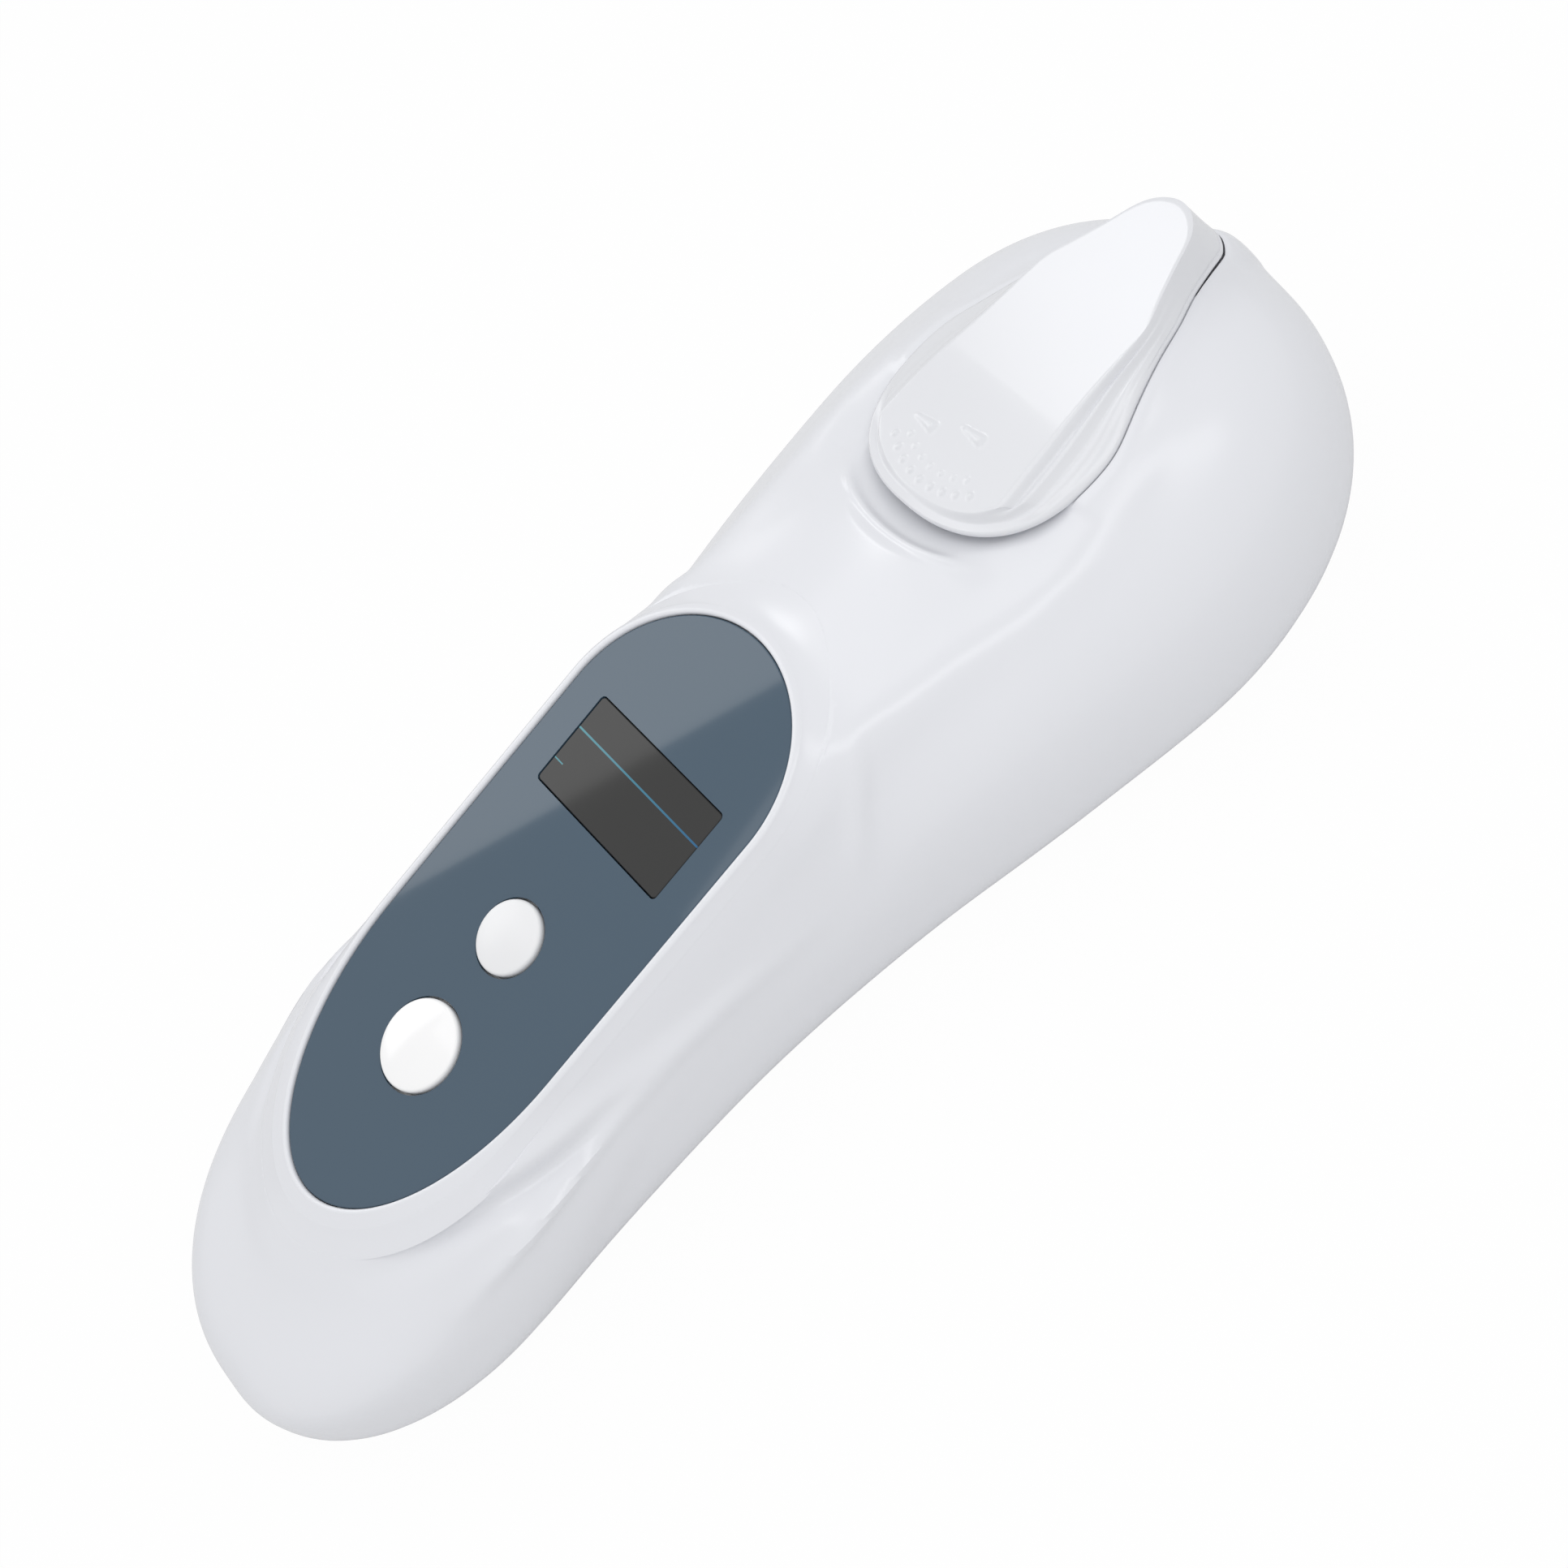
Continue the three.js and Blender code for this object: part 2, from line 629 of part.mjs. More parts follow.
function lidCover() {
  const slot = box(hingeX - armReach - clearance, hingeX + armRadius + slotNoseGap, armHalfWidth + clearance,
    0, hingeZ + armRadius + 2 * clearance);
  const reach = hingePinHalf + clearance;
  const pinHole = crossRod(hingeX, hingeZ, hingePinRadius + clearance, -reach, reach);
  const hollow = lidHollow(0, 0, lidTopHeight - lidWall);
  return lidBlock().subtract(solid(slot)).subtract(hollow).subtract(solid(pinHole));
}

// Soft pad that fills the lid's hollow and covers the dish
const padRise = 0.7;
const padBottom = dishTop + padRise;
const lidPad = () => lidHollow(clearance, padBottom, lidTopHeight - lidWall - clearance);

// Scene graph: pieces in the body's frame, and those of the panel in its own tilted frame
const refractometer = new THREE.Group();
const panelGroup = new THREE.Group();
panelGroup.applyMatrix4(panelMatrix);
refractometer.add(panelGroup);

function place(group, name, shape, material) {
  const geometry = shape.isBufferGeometry ? shape : geometryOf(shape);
  const mesh = new THREE.Mesh(geometry, material);
  mesh.name = name;
  group.add(mesh);
}

// Casing
place(refractometer, 'upper_shell', upperShell(), whiteShell);
place(refractometer, 'lower_shell', lowerShell(), whiteShell);
place(refractometer, 'battery_door', batteryDoor(), whiteShell);
place(refractometer, 'shell_gasket',
  gasketRing(gasketInset, shellWall, gasketHalfHeight), greyRubber);

screwPlaces.forEach(([x, y], i) => {
  const head = post(x, y, screwHead, screwRecess, screwRecess + screwHeadHeight);
  const shaft = post(x, y, screwShaft, screwRecess, screwRecess + screwLength, shaftSides);
  place(refractometer, `shell_screw_${i + 1}`, solid(head).add(solid(shaft)), steel);
});

// Power: two cells with springs at the tail end and contact plates at the head end
[-1, 1].forEach((side, i) => {
  const y = side * cellSpacing / 2;
  const springFrom = compartmentTail + contactThickness + 2 * clearance;
  const cellFrom = springFrom + springLength + clearance;
  const cellTo = cellFrom + cellLength;
  const turned = (radius, x0, x1, endRadius = radius) =>
    new THREE.CylinderGeometry(endRadius, radius, x1 - x0, fineSides)
      .rotateZ(-Math.PI / 2)
      .translate((x0 + x1) / 2, y, cellZ);
  const can = turned(cellRadius, cellFrom, cellTo);
  const nub = turned(cellNubRadius, cellTo - cellNub, cellTo + cellNub);
  place(refractometer, `battery_${i + 1}`, solid(can).add(solid(nub)), batteryLabel);
  place(refractometer, `battery_spring_${i + 1}`,
    turned(springRadius, springFrom, springFrom + springLength, springRadius / 2), steel);
  const plateFrom = compartmentHead - clearance - contactThickness;
  const plate = box(plateFrom, plateFrom + contactThickness, springRadius,
    cellZ - springRadius, cellZ + springRadius, y);
  place(refractometer, `battery_contact_${i + 1}`, plate, brass);
});
place(refractometer, 'battery_link_plate', box(compartmentTail + clearance,
  compartmentTail + clearance + contactThickness, cellSpacing / 2 + springRadius,
  cellZ - springRadius, cellZ + springRadius), brass);

// Display panel, window, glass, its frame and the rubber contact strip
const windowThickness = 1.1;
const windowSink = 0.1;
const holderWall = 1.1;
const holderDepth = 3.5;
const glassMargin = 1.1;
const glassThickness = 2;
const glassFrameLip = 0.9;
const stripHalfLength = 0.8;
const glassHalfWidth = displayWidth / 2 + glassMargin;
const glassHalfLength = displayDepth / 2 + glassMargin;
const holderHalfWidth = glassHalfWidth + clearance + holderWall;
const holderHalfLength = glassHalfLength + clearance + holderWall;
const holderTop = -panelThickness - clearance;
const glassTop = holderTop - glassFrameLip - clearance;
const glassBottom = glassTop - glassThickness;

let panel = solid(prism(panelOutline(-clearance), -panelThickness, 0));
panel = panel.subtract(solid(box(-displayDepth / 2, displayDepth / 2, displayWidth / 2, -overrun, overrun)));
const smallButtonX = -smallButtonShare * panelTailLength;
const largeButtonX = -largeButtonShare * panelTailLength;
const buttons = [
  ['small_button', smallButtonX, smallButtonRadius],
  ['large_button', largeButtonX, largeButtonRadius],
];
for (const [, x, radius] of buttons) {
  panel = panel.subtract(solid(post(x, 0, radius + clearance, -overrun, overrun)));
}
place(panelGroup, 'front_panel', panel, slatePanel);
place(panelGroup, 'lcd_window', box(clearance - displayDepth / 2, displayDepth / 2 - clearance,
  displayWidth / 2 - clearance, -windowSink - windowThickness, -windowSink), darkGlass);

const holderBottom = holderTop - holderDepth;
const view = box(-displayDepth / 2, displayDepth / 2, displayWidth / 2, holderBottom - overrun, 0);
const glassPocket = box(-glassHalfLength - clearance, glassHalfLength + clearance, glassHalfWidth + clearance,
  holderBottom - overrun, glassTop + clearance);
const holder = solid(box(-holderHalfLength, holderHalfLength, holderHalfWidth, holderBottom, holderTop))
  .subtract(solid(view))
  .subtract(solid(glassPocket));
place(panelGroup, 'lcd_holder', holder, blackPlastic);
place(panelGroup, 'lcd_glass',
  box(-glassHalfLength, glassHalfLength, glassHalfWidth, glassBottom, glassTop), darkGlass);
place(panelGroup, 'lcd_contact_strip', box(
  stripHalfLength - glassHalfLength,
  3 * stripHalfLength - glassHalfLength,
  glassHalfWidth - stripHalfLength,
  clearance - boardDepth,
  glassBottom - clearance,
), greyRubber);

// Buttons: domed caps with a flange under the panel and a plunger over the rubber mat
const domeSteps = 3;
function buttonCap(x, radius) {
  const flangeBottom = flangeTop - flangeThickness;
  const profile = [
    [0, plungerBottom],
    [plungerRadius, plungerBottom],
    [plungerRadius, flangeBottom],
    [radius + flangeWidth, flangeBottom],
    [radius + flangeWidth, flangeTop],
    [radius, flangeTop],
  ];
  for (let i = 0; i < domeSteps; i += 1) {
    const angle = Math.PI / 2 * i / domeSteps;
    profile.push([radius * Math.cos(angle), buttonRise + buttonDome * Math.sin(angle)]);
  }
  profile.push([0, buttonRise + buttonDome]);
  const points = profile.map(([r, z]) => new THREE.Vector2(r, z));
  return new THREE.LatheGeometry(points, roundSides).rotateX(Math.PI / 2).translate(x, 0, 0);
}
for (const [name, x, radius] of buttons) {
  place(panelGroup, name, buttonCap(x, radius), whiteButton);
}

// Rubber mat, dome switches and the main board under them
const matMargin = 3;
const domeRadius = 3.2;
place(panelGroup, 'keypad_mat', box(
  largeButtonX - largeButtonRadius - matMargin,
  smallButtonX + smallButtonRadius + matMargin,
  largeButtonRadius + matMargin,
  matTop - matThickness,
  matTop,
), greyRubber);
for (const [name, x] of buttons) {
  const dome = new THREE.CylinderGeometry(domeRadius / 2, domeRadius, domeHeight, roundSides)
    .rotateX(Math.PI / 2)
    .translate(x, 0, domeTop - domeHeight / 2);
  place(panelGroup, name.replace('button', 'dome_switch'), dome, steel);
}
let board = solid(prism(panelOutline(-panelLedge - boardGap), -boardDepth - boardThickness, -boardDepth));
const boardScrewHead = 2;
const boardScrewHeadHeight = 1.2;
const boardScrewLength = 4.4;
tabPlaces.forEach(([x, y], i) => {
  const under = clearance - boardDepth;
  board = board.subtract(solid(post(x, y, screwShaft + clearance, -openingDepth, 0)));
  const head = post(x, y, boardScrewHead, under, under + boardScrewHeadHeight);
  const shaft = post(x, y, screwShaft, under - boardScrewLength, under + clearance, shaftSides);
  place(panelGroup, `board_screw_${i + 1}`, solid(head).add(solid(shaft)), steel);
});
place(panelGroup, 'main_board', board, greenBoard);

// Lid with its pad and hinge pin
place(refractometer, 'lid_cover', lidCover(), whiteShell);
place(refractometer, 'lid_pad', lidPad(), greyRubber);
place(refractometer, 'hinge_pin',
  crossRod(hingeX, hingeZ, hingePinRadius, -hingePinHalf, hingePinHalf), steel);

// Sample dish, its seal and the prism under it
const lathed = (profile) =>
  new THREE.LatheGeometry(profile.map(([r, z]) => new THREE.Vector2(r, z)), fineSides)
    .rotateX(Math.PI / 2)
    .translate(dishX, 0, 0);
place(refractometer, 'sample_dish', lathed([
  [dishThroatRadius, dishBottom],
  [dishThroatRadius + dishWall, dishBottom],
  [dishMouth - dishWall, dishTop - dishFlange],
  [dishRadius, dishTop - dishFlange],
  [dishRadius, dishTop],
  [dishMouth, dishTop],
  [dishThroatRadius, dishBottom + dishWall],
  [dishThroatRadius, dishBottom],
]), steel);
place(refractometer, 'prism_seal', lathed([
  [dishThroatRadius, sealTop - sealThickness],
  [dishThroatRadius + dishWall, sealTop - sealThickness],
  [dishThroatRadius + dishWall, sealTop],
  [dishThroatRadius, sealTop],
  [dishThroatRadius, sealTop - sealThickness],
]), greyRubber);

const prismHalfLength = 4.6;
const prismFoot = 2.4;
const prismHeight = 4.4;
const prismHalfWidth = 3.8;
const prismShape = new THREE.Shape([
  new THREE.Vector2(-prismHalfLength, 0),
  new THREE.Vector2(-prismFoot, -prismHeight),
  new THREE.Vector2(prismFoot, -prismHeight),
  new THREE.Vector2(prismHalfLength, 0),
]);
const prismGlass = new THREE.ExtrudeGeometry(prismShape, { depth: 2 * prismHalfWidth, bevelEnabled: false })
  .translate(0, 0, -prismHalfWidth)
  .rotateX(Math.PI / 2)
  .translate(dishX, 0, prismTop);
place(refractometer, 'prism', prismGlass, clearGlass);

// Optics block with a light channel, closed by a lamp board at one end and a sensor board at the other
const channelHalfWidth = 5;
const channelHalfHeight = 4.5;
const channelZ = prismTop - prismHeight - channelHalfHeight / 2;
const blockTail = dishX - blockHalfLength;
const blockHead = dishX + blockHalfLength;
const earHalfWidth = blockHalfWidth + blockEar;
const ears = box(dishX - postRadius, dishX + postRadius, earHalfWidth,
  blockTop - blockEarThickness, blockTop);
const channel = box(blockTail - overrun, blockHead + overrun, channelHalfWidth,
  channelZ - channelHalfHeight, channelZ + channelHalfHeight);
const prismPocket = box(dishX - prismHalfLength - clearance, dishX + prismHalfLength + clearance,
  prismHalfWidth + clearance, channelZ, blockTop + overrun);
let block = solid(box(blockTail, blockHead, blockHalfWidth, blockBottom, blockTop))
  .add(solid(ears))
  .subtract(solid(channel))
  .subtract(solid(prismPocket));
const opticsScrewLength = 5;
[-1, 1].forEach((side, i) => {
  const y = side * opticsPostY;
  const under = blockTop - blockEarThickness - clearance;
  block = block.subtract(solid(post(dishX, y, screwShaft + clearance, 0, tall)));
  const head = post(dishX, y, boardScrewHead, under - boardScrewHeadHeight, under);
  const shaft = post(dishX, y, screwShaft, under - clearance, under + opticsScrewLength, shaftSides);
  place(refractometer, `optics_screw_${i + 1}`, solid(head).add(solid(shaft)), steel);
});
place(refractometer, 'optics_block', block, blackPlastic);

// Lamp and sensor with their boards, the lens between them, and the bead that reads the prism's temperature
const smallBoardThickness = 1.2;
const smallBoardEdge = 0.9;
const smallBoardMargin = 2.4;
const lampRadius = 2.5;
const lampLength = 4;
const lensThickness = 2;
const lensFromDish = 5.3;
const sensorHalfHeight = 2.6;
const sensorThickness = 1.7;
const beadRadius = 0.9;
const beadHeight = 1.6;
const lengthwise = (radius, x0, x1) => new THREE.CylinderGeometry(radius, radius, x1 - x0, fineSides)
  .rotateZ(Math.PI / 2)
  .translate((x0 + x1) / 2, 0, channelZ);
const smallBoard = (x0) => box(x0, x0 + smallBoardThickness, blockHalfWidth - smallBoardEdge,
  blockBottom + smallBoardMargin, blockTop - smallBoardMargin);
const lampFace = blockTail - clearance;
const sensorFace = blockHead + clearance;
const lensTail = dishX + lensFromDish;
const beadX = dishX + prismHalfLength + clearance + 2 * beadRadius;
const beadBottom = blockTop + clearance;
place(refractometer, 'lamp_board', smallBoard(lampFace - smallBoardThickness), greenBoard);
place(refractometer, 'lamp',
  lengthwise(lampRadius, lampFace + clearance, lampFace + clearance + lampLength), amberFilm);
place(refractometer, 'lens',
  lengthwise(channelHalfHeight - clearance, lensTail, lensTail + lensThickness), clearGlass);
place(refractometer, 'line_sensor', box(
  sensorFace - clearance - sensorThickness,
  sensorFace - clearance,
  channelHalfWidth - clearance,
  channelZ - sensorHalfHeight,
  channelZ + sensorHalfHeight,
), blackPlastic);
place(refractometer, 'sensor_board', smallBoard(sensorFace), greenBoard);
place(refractometer, 'temperature_sensor',
  post(beadX, 0, beadRadius, beadBottom, beadBottom + beadHeight, shaftSides), blackPlastic);

// Ribbon from under the main board down to the lamp board
const ribbonHalfWidth = 4;
const ribbonThickness = 0.4;
const ribbonLap = 3;
const ribbonFallShare = 0.55;
const boardHead = new THREE.Vector3(panelHeadLength - panelLedge - boardGap - ribbonLap, 0, tabTop)
  .applyMatrix4(panelMatrix);
const lampEndX = lampFace - smallBoardThickness - clearance;
const lampEndZ = (blockTop + blockBottom) / 2;
function ribbon() {
  const run = [
    new THREE.Vector2(boardHead.x, boardHead.z),
    new THREE.Vector2(boardHead.x + ribbonLap, boardHead.z + ribbonLap * Math.tan(panelTilt)),
    new THREE.Vector2(boardHead.x + (lampEndX - boardHead.x) * ribbonFallShare, boardHead.z - ribbonLap),
    new THREE.Vector2(lampEndX, lampEndZ + ribbonLap),
    new THREE.Vector2(lampEndX, lampEndZ - ribbonLap),
  ];
  const under = run.map((p) => new THREE.Vector2(p.x - ribbonThickness, p.y - ribbonThickness));
  const shape = new THREE.Shape([...run, ...under.reverse()]);
  return new THREE.ExtrudeGeometry(shape, { depth: 2 * ribbonHalfWidth, bevelEnabled: false })
    .translate(0, 0, -ribbonHalfWidth)
    .rotateX(Math.PI / 2);
}
place(refractometer, 'ribbon_cable', ribbon(), amberFilm);

export default refractometer;
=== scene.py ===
import math
import bpy
import numpy as np
from mathutils import Matrix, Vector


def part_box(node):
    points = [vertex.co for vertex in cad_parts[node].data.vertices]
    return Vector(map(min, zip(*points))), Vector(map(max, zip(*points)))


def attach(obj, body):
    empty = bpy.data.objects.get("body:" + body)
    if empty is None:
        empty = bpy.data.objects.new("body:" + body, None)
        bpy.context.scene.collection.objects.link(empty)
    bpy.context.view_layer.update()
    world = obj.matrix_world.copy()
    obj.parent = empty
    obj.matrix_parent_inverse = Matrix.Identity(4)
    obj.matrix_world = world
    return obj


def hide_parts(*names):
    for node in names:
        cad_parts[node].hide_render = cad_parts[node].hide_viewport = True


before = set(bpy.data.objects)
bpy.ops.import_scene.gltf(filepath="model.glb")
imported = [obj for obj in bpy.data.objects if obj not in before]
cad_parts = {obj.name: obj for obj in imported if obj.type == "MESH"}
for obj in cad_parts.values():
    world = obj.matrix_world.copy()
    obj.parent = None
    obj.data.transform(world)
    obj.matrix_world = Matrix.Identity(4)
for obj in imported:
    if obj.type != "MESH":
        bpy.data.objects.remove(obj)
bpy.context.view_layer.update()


# Form of the white casing. The real casing is one smooth form, a rounded handle with a waist that
# widens to a big round head, moulded in glossy ABS. Here its cross-sections are superellipses whose
# half widths, heights and powers follow smooth curves along the length. Lengths are in millimetres.
body_length = 191.4
tail_x = -body_length / 2
head_half_width = 36.1
head_height = 37.2
base_cut = 0.7
smooth_width = 0.9972
tail_plan, head_plan, plan_power = 0.23, 0.255, 2.3
tail_drop, head_drop, drop_power = 0.184, 0.131, 2.2
table_blur = 0.03
station_shares = [0, 0.12, 0.25, 0.38, 0.52, 0.66, 0.8, 0.92, 1]
half_width_shares = [0.79, 0.763, 0.703, 0.684, 0.749, 0.883, 0.975, 1, 1.01]
top_shares = [0.521, 0.649, 0.81, 0.859, 0.913, 0.974, 1, 0.996, 0.97]
middle_shares = [0.265, 0.33, 0.39, 0.39, 0.385, 0.375, 0.353, 0.43, 0.483]
top_powers = [3.4, 3.25, 3.05, 2.87, 2.69, 2.5, 2.31, 2.15, 2.04]
bottom_powers = [2.79, 2.7, 2.6, 2.5, 2.42, 2.55, 2.7, 2.83, 2.91]


def table_curve(knots, values, places, blur):
    """Curve through a table: cubic between the knots and level at the table's highs and lows, then
    each value is the bell-weighted mean of its surroundings, so that the curve has no kinks."""
    knots = np.asarray(knots, float)
    values = np.asarray(values, float)
    step = np.diff(knots)
    rate = np.diff(values) / step
    same = rate[:-1] * rate[1:] > 0
    slope = np.concatenate([rate[:1], np.where(
        same, 2 * rate[:-1] * rate[1:] / np.where(same, rate[:-1] + rate[1:], 1), 0), rate[-1:]])
    fine = np.linspace(knots[0], knots[-1], 1201)
    i = np.clip(np.searchsorted(knots, fine, side="right") - 1, 0, len(step) - 1)
    t = (fine - knots[i]) / step[i]
    curve = values[i] + (values[i + 1] - values[i]) * t * t * (3 - 2 * t)
    curve += step[i] * (slope[i] * t * (1 - t) ** 2 + slope[i + 1] * t * t * (t - 1))
    pitch = fine[1] - fine[0]
    half = int(3 * blur / pitch)
    bell = np.exp(-0.5 * (np.arange(-half, half + 1) * pitch / blur) ** 2)
    before = 2 * curve[0] - curve[half:0:-1]
    after = 2 * curve[-1] - curve[-2:-half - 2:-1]
    curve = np.convolve(np.concatenate([before, curve, after]), bell / bell.sum(), "valid")
    return np.interp(places, fine, curve)


def casing_section(x, grow=0.0):
    """Section of the casing at x: half width, level of the widest line, rise above and fall below
    it, and the two powers. The ends close as one minus a power of the share that is left. The smooth
    sides are drawn in by a quarter of a percent, to stay inside the CAD's faceted ones."""
    share = np.clip((x - tail_x + grow) / (body_length + 2 * grow), 0, 1)

    def rounded(part, power):
        return (1 - (1 - np.clip(part, 0, 1)) ** power) ** (1 / power)

    plan = np.minimum(rounded(share / tail_plan, plan_power), rounded((1 - share) / head_plan, plan_power))
    drop = np.minimum(rounded(share / tail_drop, drop_power), rounded((1 - share) / head_drop, drop_power))
    wide, level, high, top_power, bottom_power = (
        table_curve(station_shares, values, share, table_blur)
        for values in (half_width_shares, middle_shares, top_shares, top_powers, bottom_powers))
    middle = level * head_height
    top = high * head_height + grow
    return ((wide * head_half_width + grow) * plan * smooth_width, middle, (top - middle) * drop,
            (middle + base_cut + grow) * drop, top_power, bottom_power)


def casing_reach(section, across, up):
    """Length of a spoke from the section's middle in the direction (across, up): the minus first
    root of the sum of the two components, each over its half axis and raised to the power."""
    half, _, rise, fall, top_power, bottom_power = section
    power = np.where(up >= 0, top_power, bottom_power)
    high = np.where(up >= 0, rise, fall)
    return ((np.abs(across) / half) ** power + (np.abs(up) / high) ** power) ** (-1 / power)


def joined(first, second, fillet):
    """Two forms run together with a fillet: the lesser of their gaps, less a quarter of the fillet
    times the square of how close they are."""
    close = np.maximum(fillet - np.abs(first - second), 0) / fillet
    return np.minimum(first, second) - close * close * fillet / 4


def outermost(gap_at, near, far, steps=44, halvings=10):
    """Walks each line outward from near to far, keeps the last step that is inside the form, and
    halves what follows it until the skin is found."""
    shares = np.linspace(0, 1, steps + 1).reshape((-1,) + (1,) * near.ndim)
    inside = gap_at(near + (far - near) * shares) < 0
    last = np.where(inside.any(0), steps - np.argmax(inside[::-1], axis=0), 0)
    low = near + (far - near) * np.minimum(last, steps - 1) / steps
    high = low + (far - near) / steps
    for _ in range(halvings):
        middle = (low + high) / 2
        within = gap_at(middle) < 0
        low = np.where(within, middle, low)
        high = np.where(within, high, middle)
    return (low + high) / 2


# Plateau that carries the display panel. On the real casing it rises from the handle with a steep
# flank on either side, and runs out to a long ramp toward the head. Its flank is the panel's outline
# grown with depth; the panel itself is tilted up toward the head.
panel_tilt = math.radians(7.4)
display_x, display_z = -5.956, 36.7
panel_half_width = 18.5
panel_head_middle, panel_head_reach = 6.1, 18.5
panel_tail_middle, panel_tail_reach = -31.0, 31.9
skirt_depth = 13.0
skirt_end_fillet = 5.0
skirt_depths = [-3, -0.4, 0.8, 2.4, 4.6, 7.6, 12, 18]
side_spreads = [0.6, 0.9, 1.5, 2.3, 3.3, 4.2, 5, 5.6]
head_spreads = [0.5, 0.9, 3.0, 8.0, 15.0, 22.0, 28.0, 34.0]
tail_spreads = [0.6, 0.9, 2.0, 4.0, 6.5, 9.0, 12.0, 16.0]
skirt_levels = np.linspace(-3, 18, 421)
side_skirt, head_skirt, tail_skirt = (table_curve(skirt_depths, spreads, skirt_levels, 0.45)
                                      for spreads in (side_spreads, head_spreads, tail_spreads))
side_lean, head_lean, tail_lean = (np.gradient(skirt, skirt_levels)
                                   for skirt in (side_skirt, head_skirt, tail_skirt))


def to_panel(x, y, z):
    """A point in the panel's own frame, turned by the panel's tilt about the display's centre."""
    c, s = math.cos(panel_tilt), math.sin(panel_tilt)
    return (x - display_x) * c + (z - display_z) * s, y, (z - display_z) * c - (x - display_x) * s


def from_panel(u, v, w):
    """A point of the panel's frame put back into the body's."""
    c, s = math.cos(panel_tilt), math.sin(panel_tilt)
    return np.stack(np.broadcast_arrays(u * c - w * s + display_x, v, u * s + w * c + display_z), -1)


def plateau_gap(x, y, z):
    """Gap from a point to the plateau: in the panel's plane, the distance to an outline of half an
    ellipse at each end and straight sides, grown by the skirt's spread at the point's depth, and
    shortened by the skirt's lean. The plateau ends at the skirt's depth."""
    u, v, w = to_panel(x, y, z)
    head = u > panel_head_middle
    along = np.where(head, u - panel_head_middle, np.minimum(u - panel_tail_middle, 0))
    half = panel_half_width + np.interp(-w, skirt_levels, side_skirt)
    reach = np.where(head, panel_head_reach + np.interp(-w, skirt_levels, head_skirt),
                     panel_tail_reach + np.interp(-w, skirt_levels, tail_skirt))
    ratio = np.sqrt((along / reach) ** 2 + (v / half) ** 2) + 1e-9
    pull = np.hypot(along / reach ** 2, v / half ** 2) + 1e-9
    lengthwise = (along / reach ** 2 / pull) ** 2
    lean = (1 - lengthwise) * np.interp(-w, skirt_levels, side_lean)
    lean = lean + lengthwise * np.where(head, np.interp(-w, skirt_levels, head_lean),
                                        np.interp(-w, skirt_levels, tail_lean))
    flank = (ratio - 1) * ratio / pull / np.sqrt(1 + lean ** 2)
    return -joined(-flank, w + skirt_depth, skirt_end_fillet)


# Seat of the lid on the head. The real head swells a little round the lid's edge, which drops at
# its sides and toward its nose as the head does. The lid's outline is a blunt round front and a
# taper to a narrow nose; the top plate inside it has a squarer front and keeps its width for longer.
lid_front_x = 42.441
lid_length = 49.2
lid_round = 16.4
lid_half_width = 16.6
lid_top = 40.5
lid_middle_x = lid_front_x + lid_round
lid_taper = lid_length - lid_round
hinge_x, hinge_z = 87.041, 35.0
dish_x = 69.471
lid_clearance = 0.15
edge_depth, edge_side_drop, edge_nose_drop = 3, 1.5, 6.5
edge_level_share, edge_falling_share = 0.55, 0.45
rim_back = np.array([[0, 1], [0.129, 0.97], [0.265, 0.867], [0.415, 0.745], [0.535, 0.65],
                     [0.658, 0.548], [0.772, 0.42], [0.864, 0.325], [0.935, 0.25], [1.0, 0.17], [1.045, 0]])
plate_back = np.array([[-0.58, 0.683], [-0.16, 0.66], [0.13, 0.623], [0.34, 0.593], [0.51, 0.573],
                       [0.61, 0.512], [0.72, 0.42], [0.82, 0.345], [0.905, 0.275], [0.962, 0.17],
                       [0.991, 0]])


def lid_corners(inset, back):
    """Points on an outline of the lid, counterclockwise from the middle of its front: a superellipse
    of power 2.4 as far as the first back point, then the back points, then the same mirrored."""
    width = lid_half_width - inset
    side = back[0, 1] * lid_half_width
    y = min(side, width) * np.sin(np.pi / 2 * np.arange(9) / 9)
    x = lid_middle_x - (lid_round - inset) * (1 - (y / width) ** 2.4) ** (1 / 2.4)
    reach = np.where(back[:, 0] < 0, lid_round, lid_taper)
    x = np.concatenate([x, lid_middle_x + back[:, 0] * reach])
    y = np.concatenate([y, back[:, 1] * lid_half_width])
    return np.stack([np.concatenate([x, x[-2:0:-1]]), np.concatenate([-y, y[-2:0:-1]])], -1)


def closed_curve(corners, knots, places):
    """Smooth closed curve through corners: the cubic whose slope and bend are unbroken, with its
    bends found from the neighbouring corners all at once."""
    count = len(corners)
    step = np.diff(knots)[:, None]
    rate = (np.roll(corners, -1, 0) - corners) / step
    before = np.roll(step, 1, 0)
    ring = np.arange(count)
    pull = np.zeros((count, count))
    pull[ring, ring] = 2 * (step + before)[:, 0]
    pull[ring, (ring + 1) % count] += step[:, 0]
    pull[ring, ring - 1] += before[:, 0]
    bend = np.linalg.solve(pull, 6 * (rate - np.roll(rate, 1, 0)))
    i = np.clip(np.searchsorted(knots, places, side="right") - 1, 0, count - 1)
    j = (i + 1) % count
    a = ((knots[i + 1] - places) / step[i, 0])[:, None]
    b = 1 - a
    curve = a * corners[i] + b * corners[j]
    return curve + ((a ** 3 - a) * bend[i] + (b ** 3 - b) * bend[j]) * step[i] ** 2 / 6


def grown(outline, amount):
    """Each point of an outline moved outward along its own normal."""
    run = np.roll(outline, -1, 0) - np.roll(outline, 1, 0)
    run = run / np.hypot(run[:, :1], run[:, 1:])
    return outline + amount * np.stack([run[:, 1], -run[:, 0]], -1)


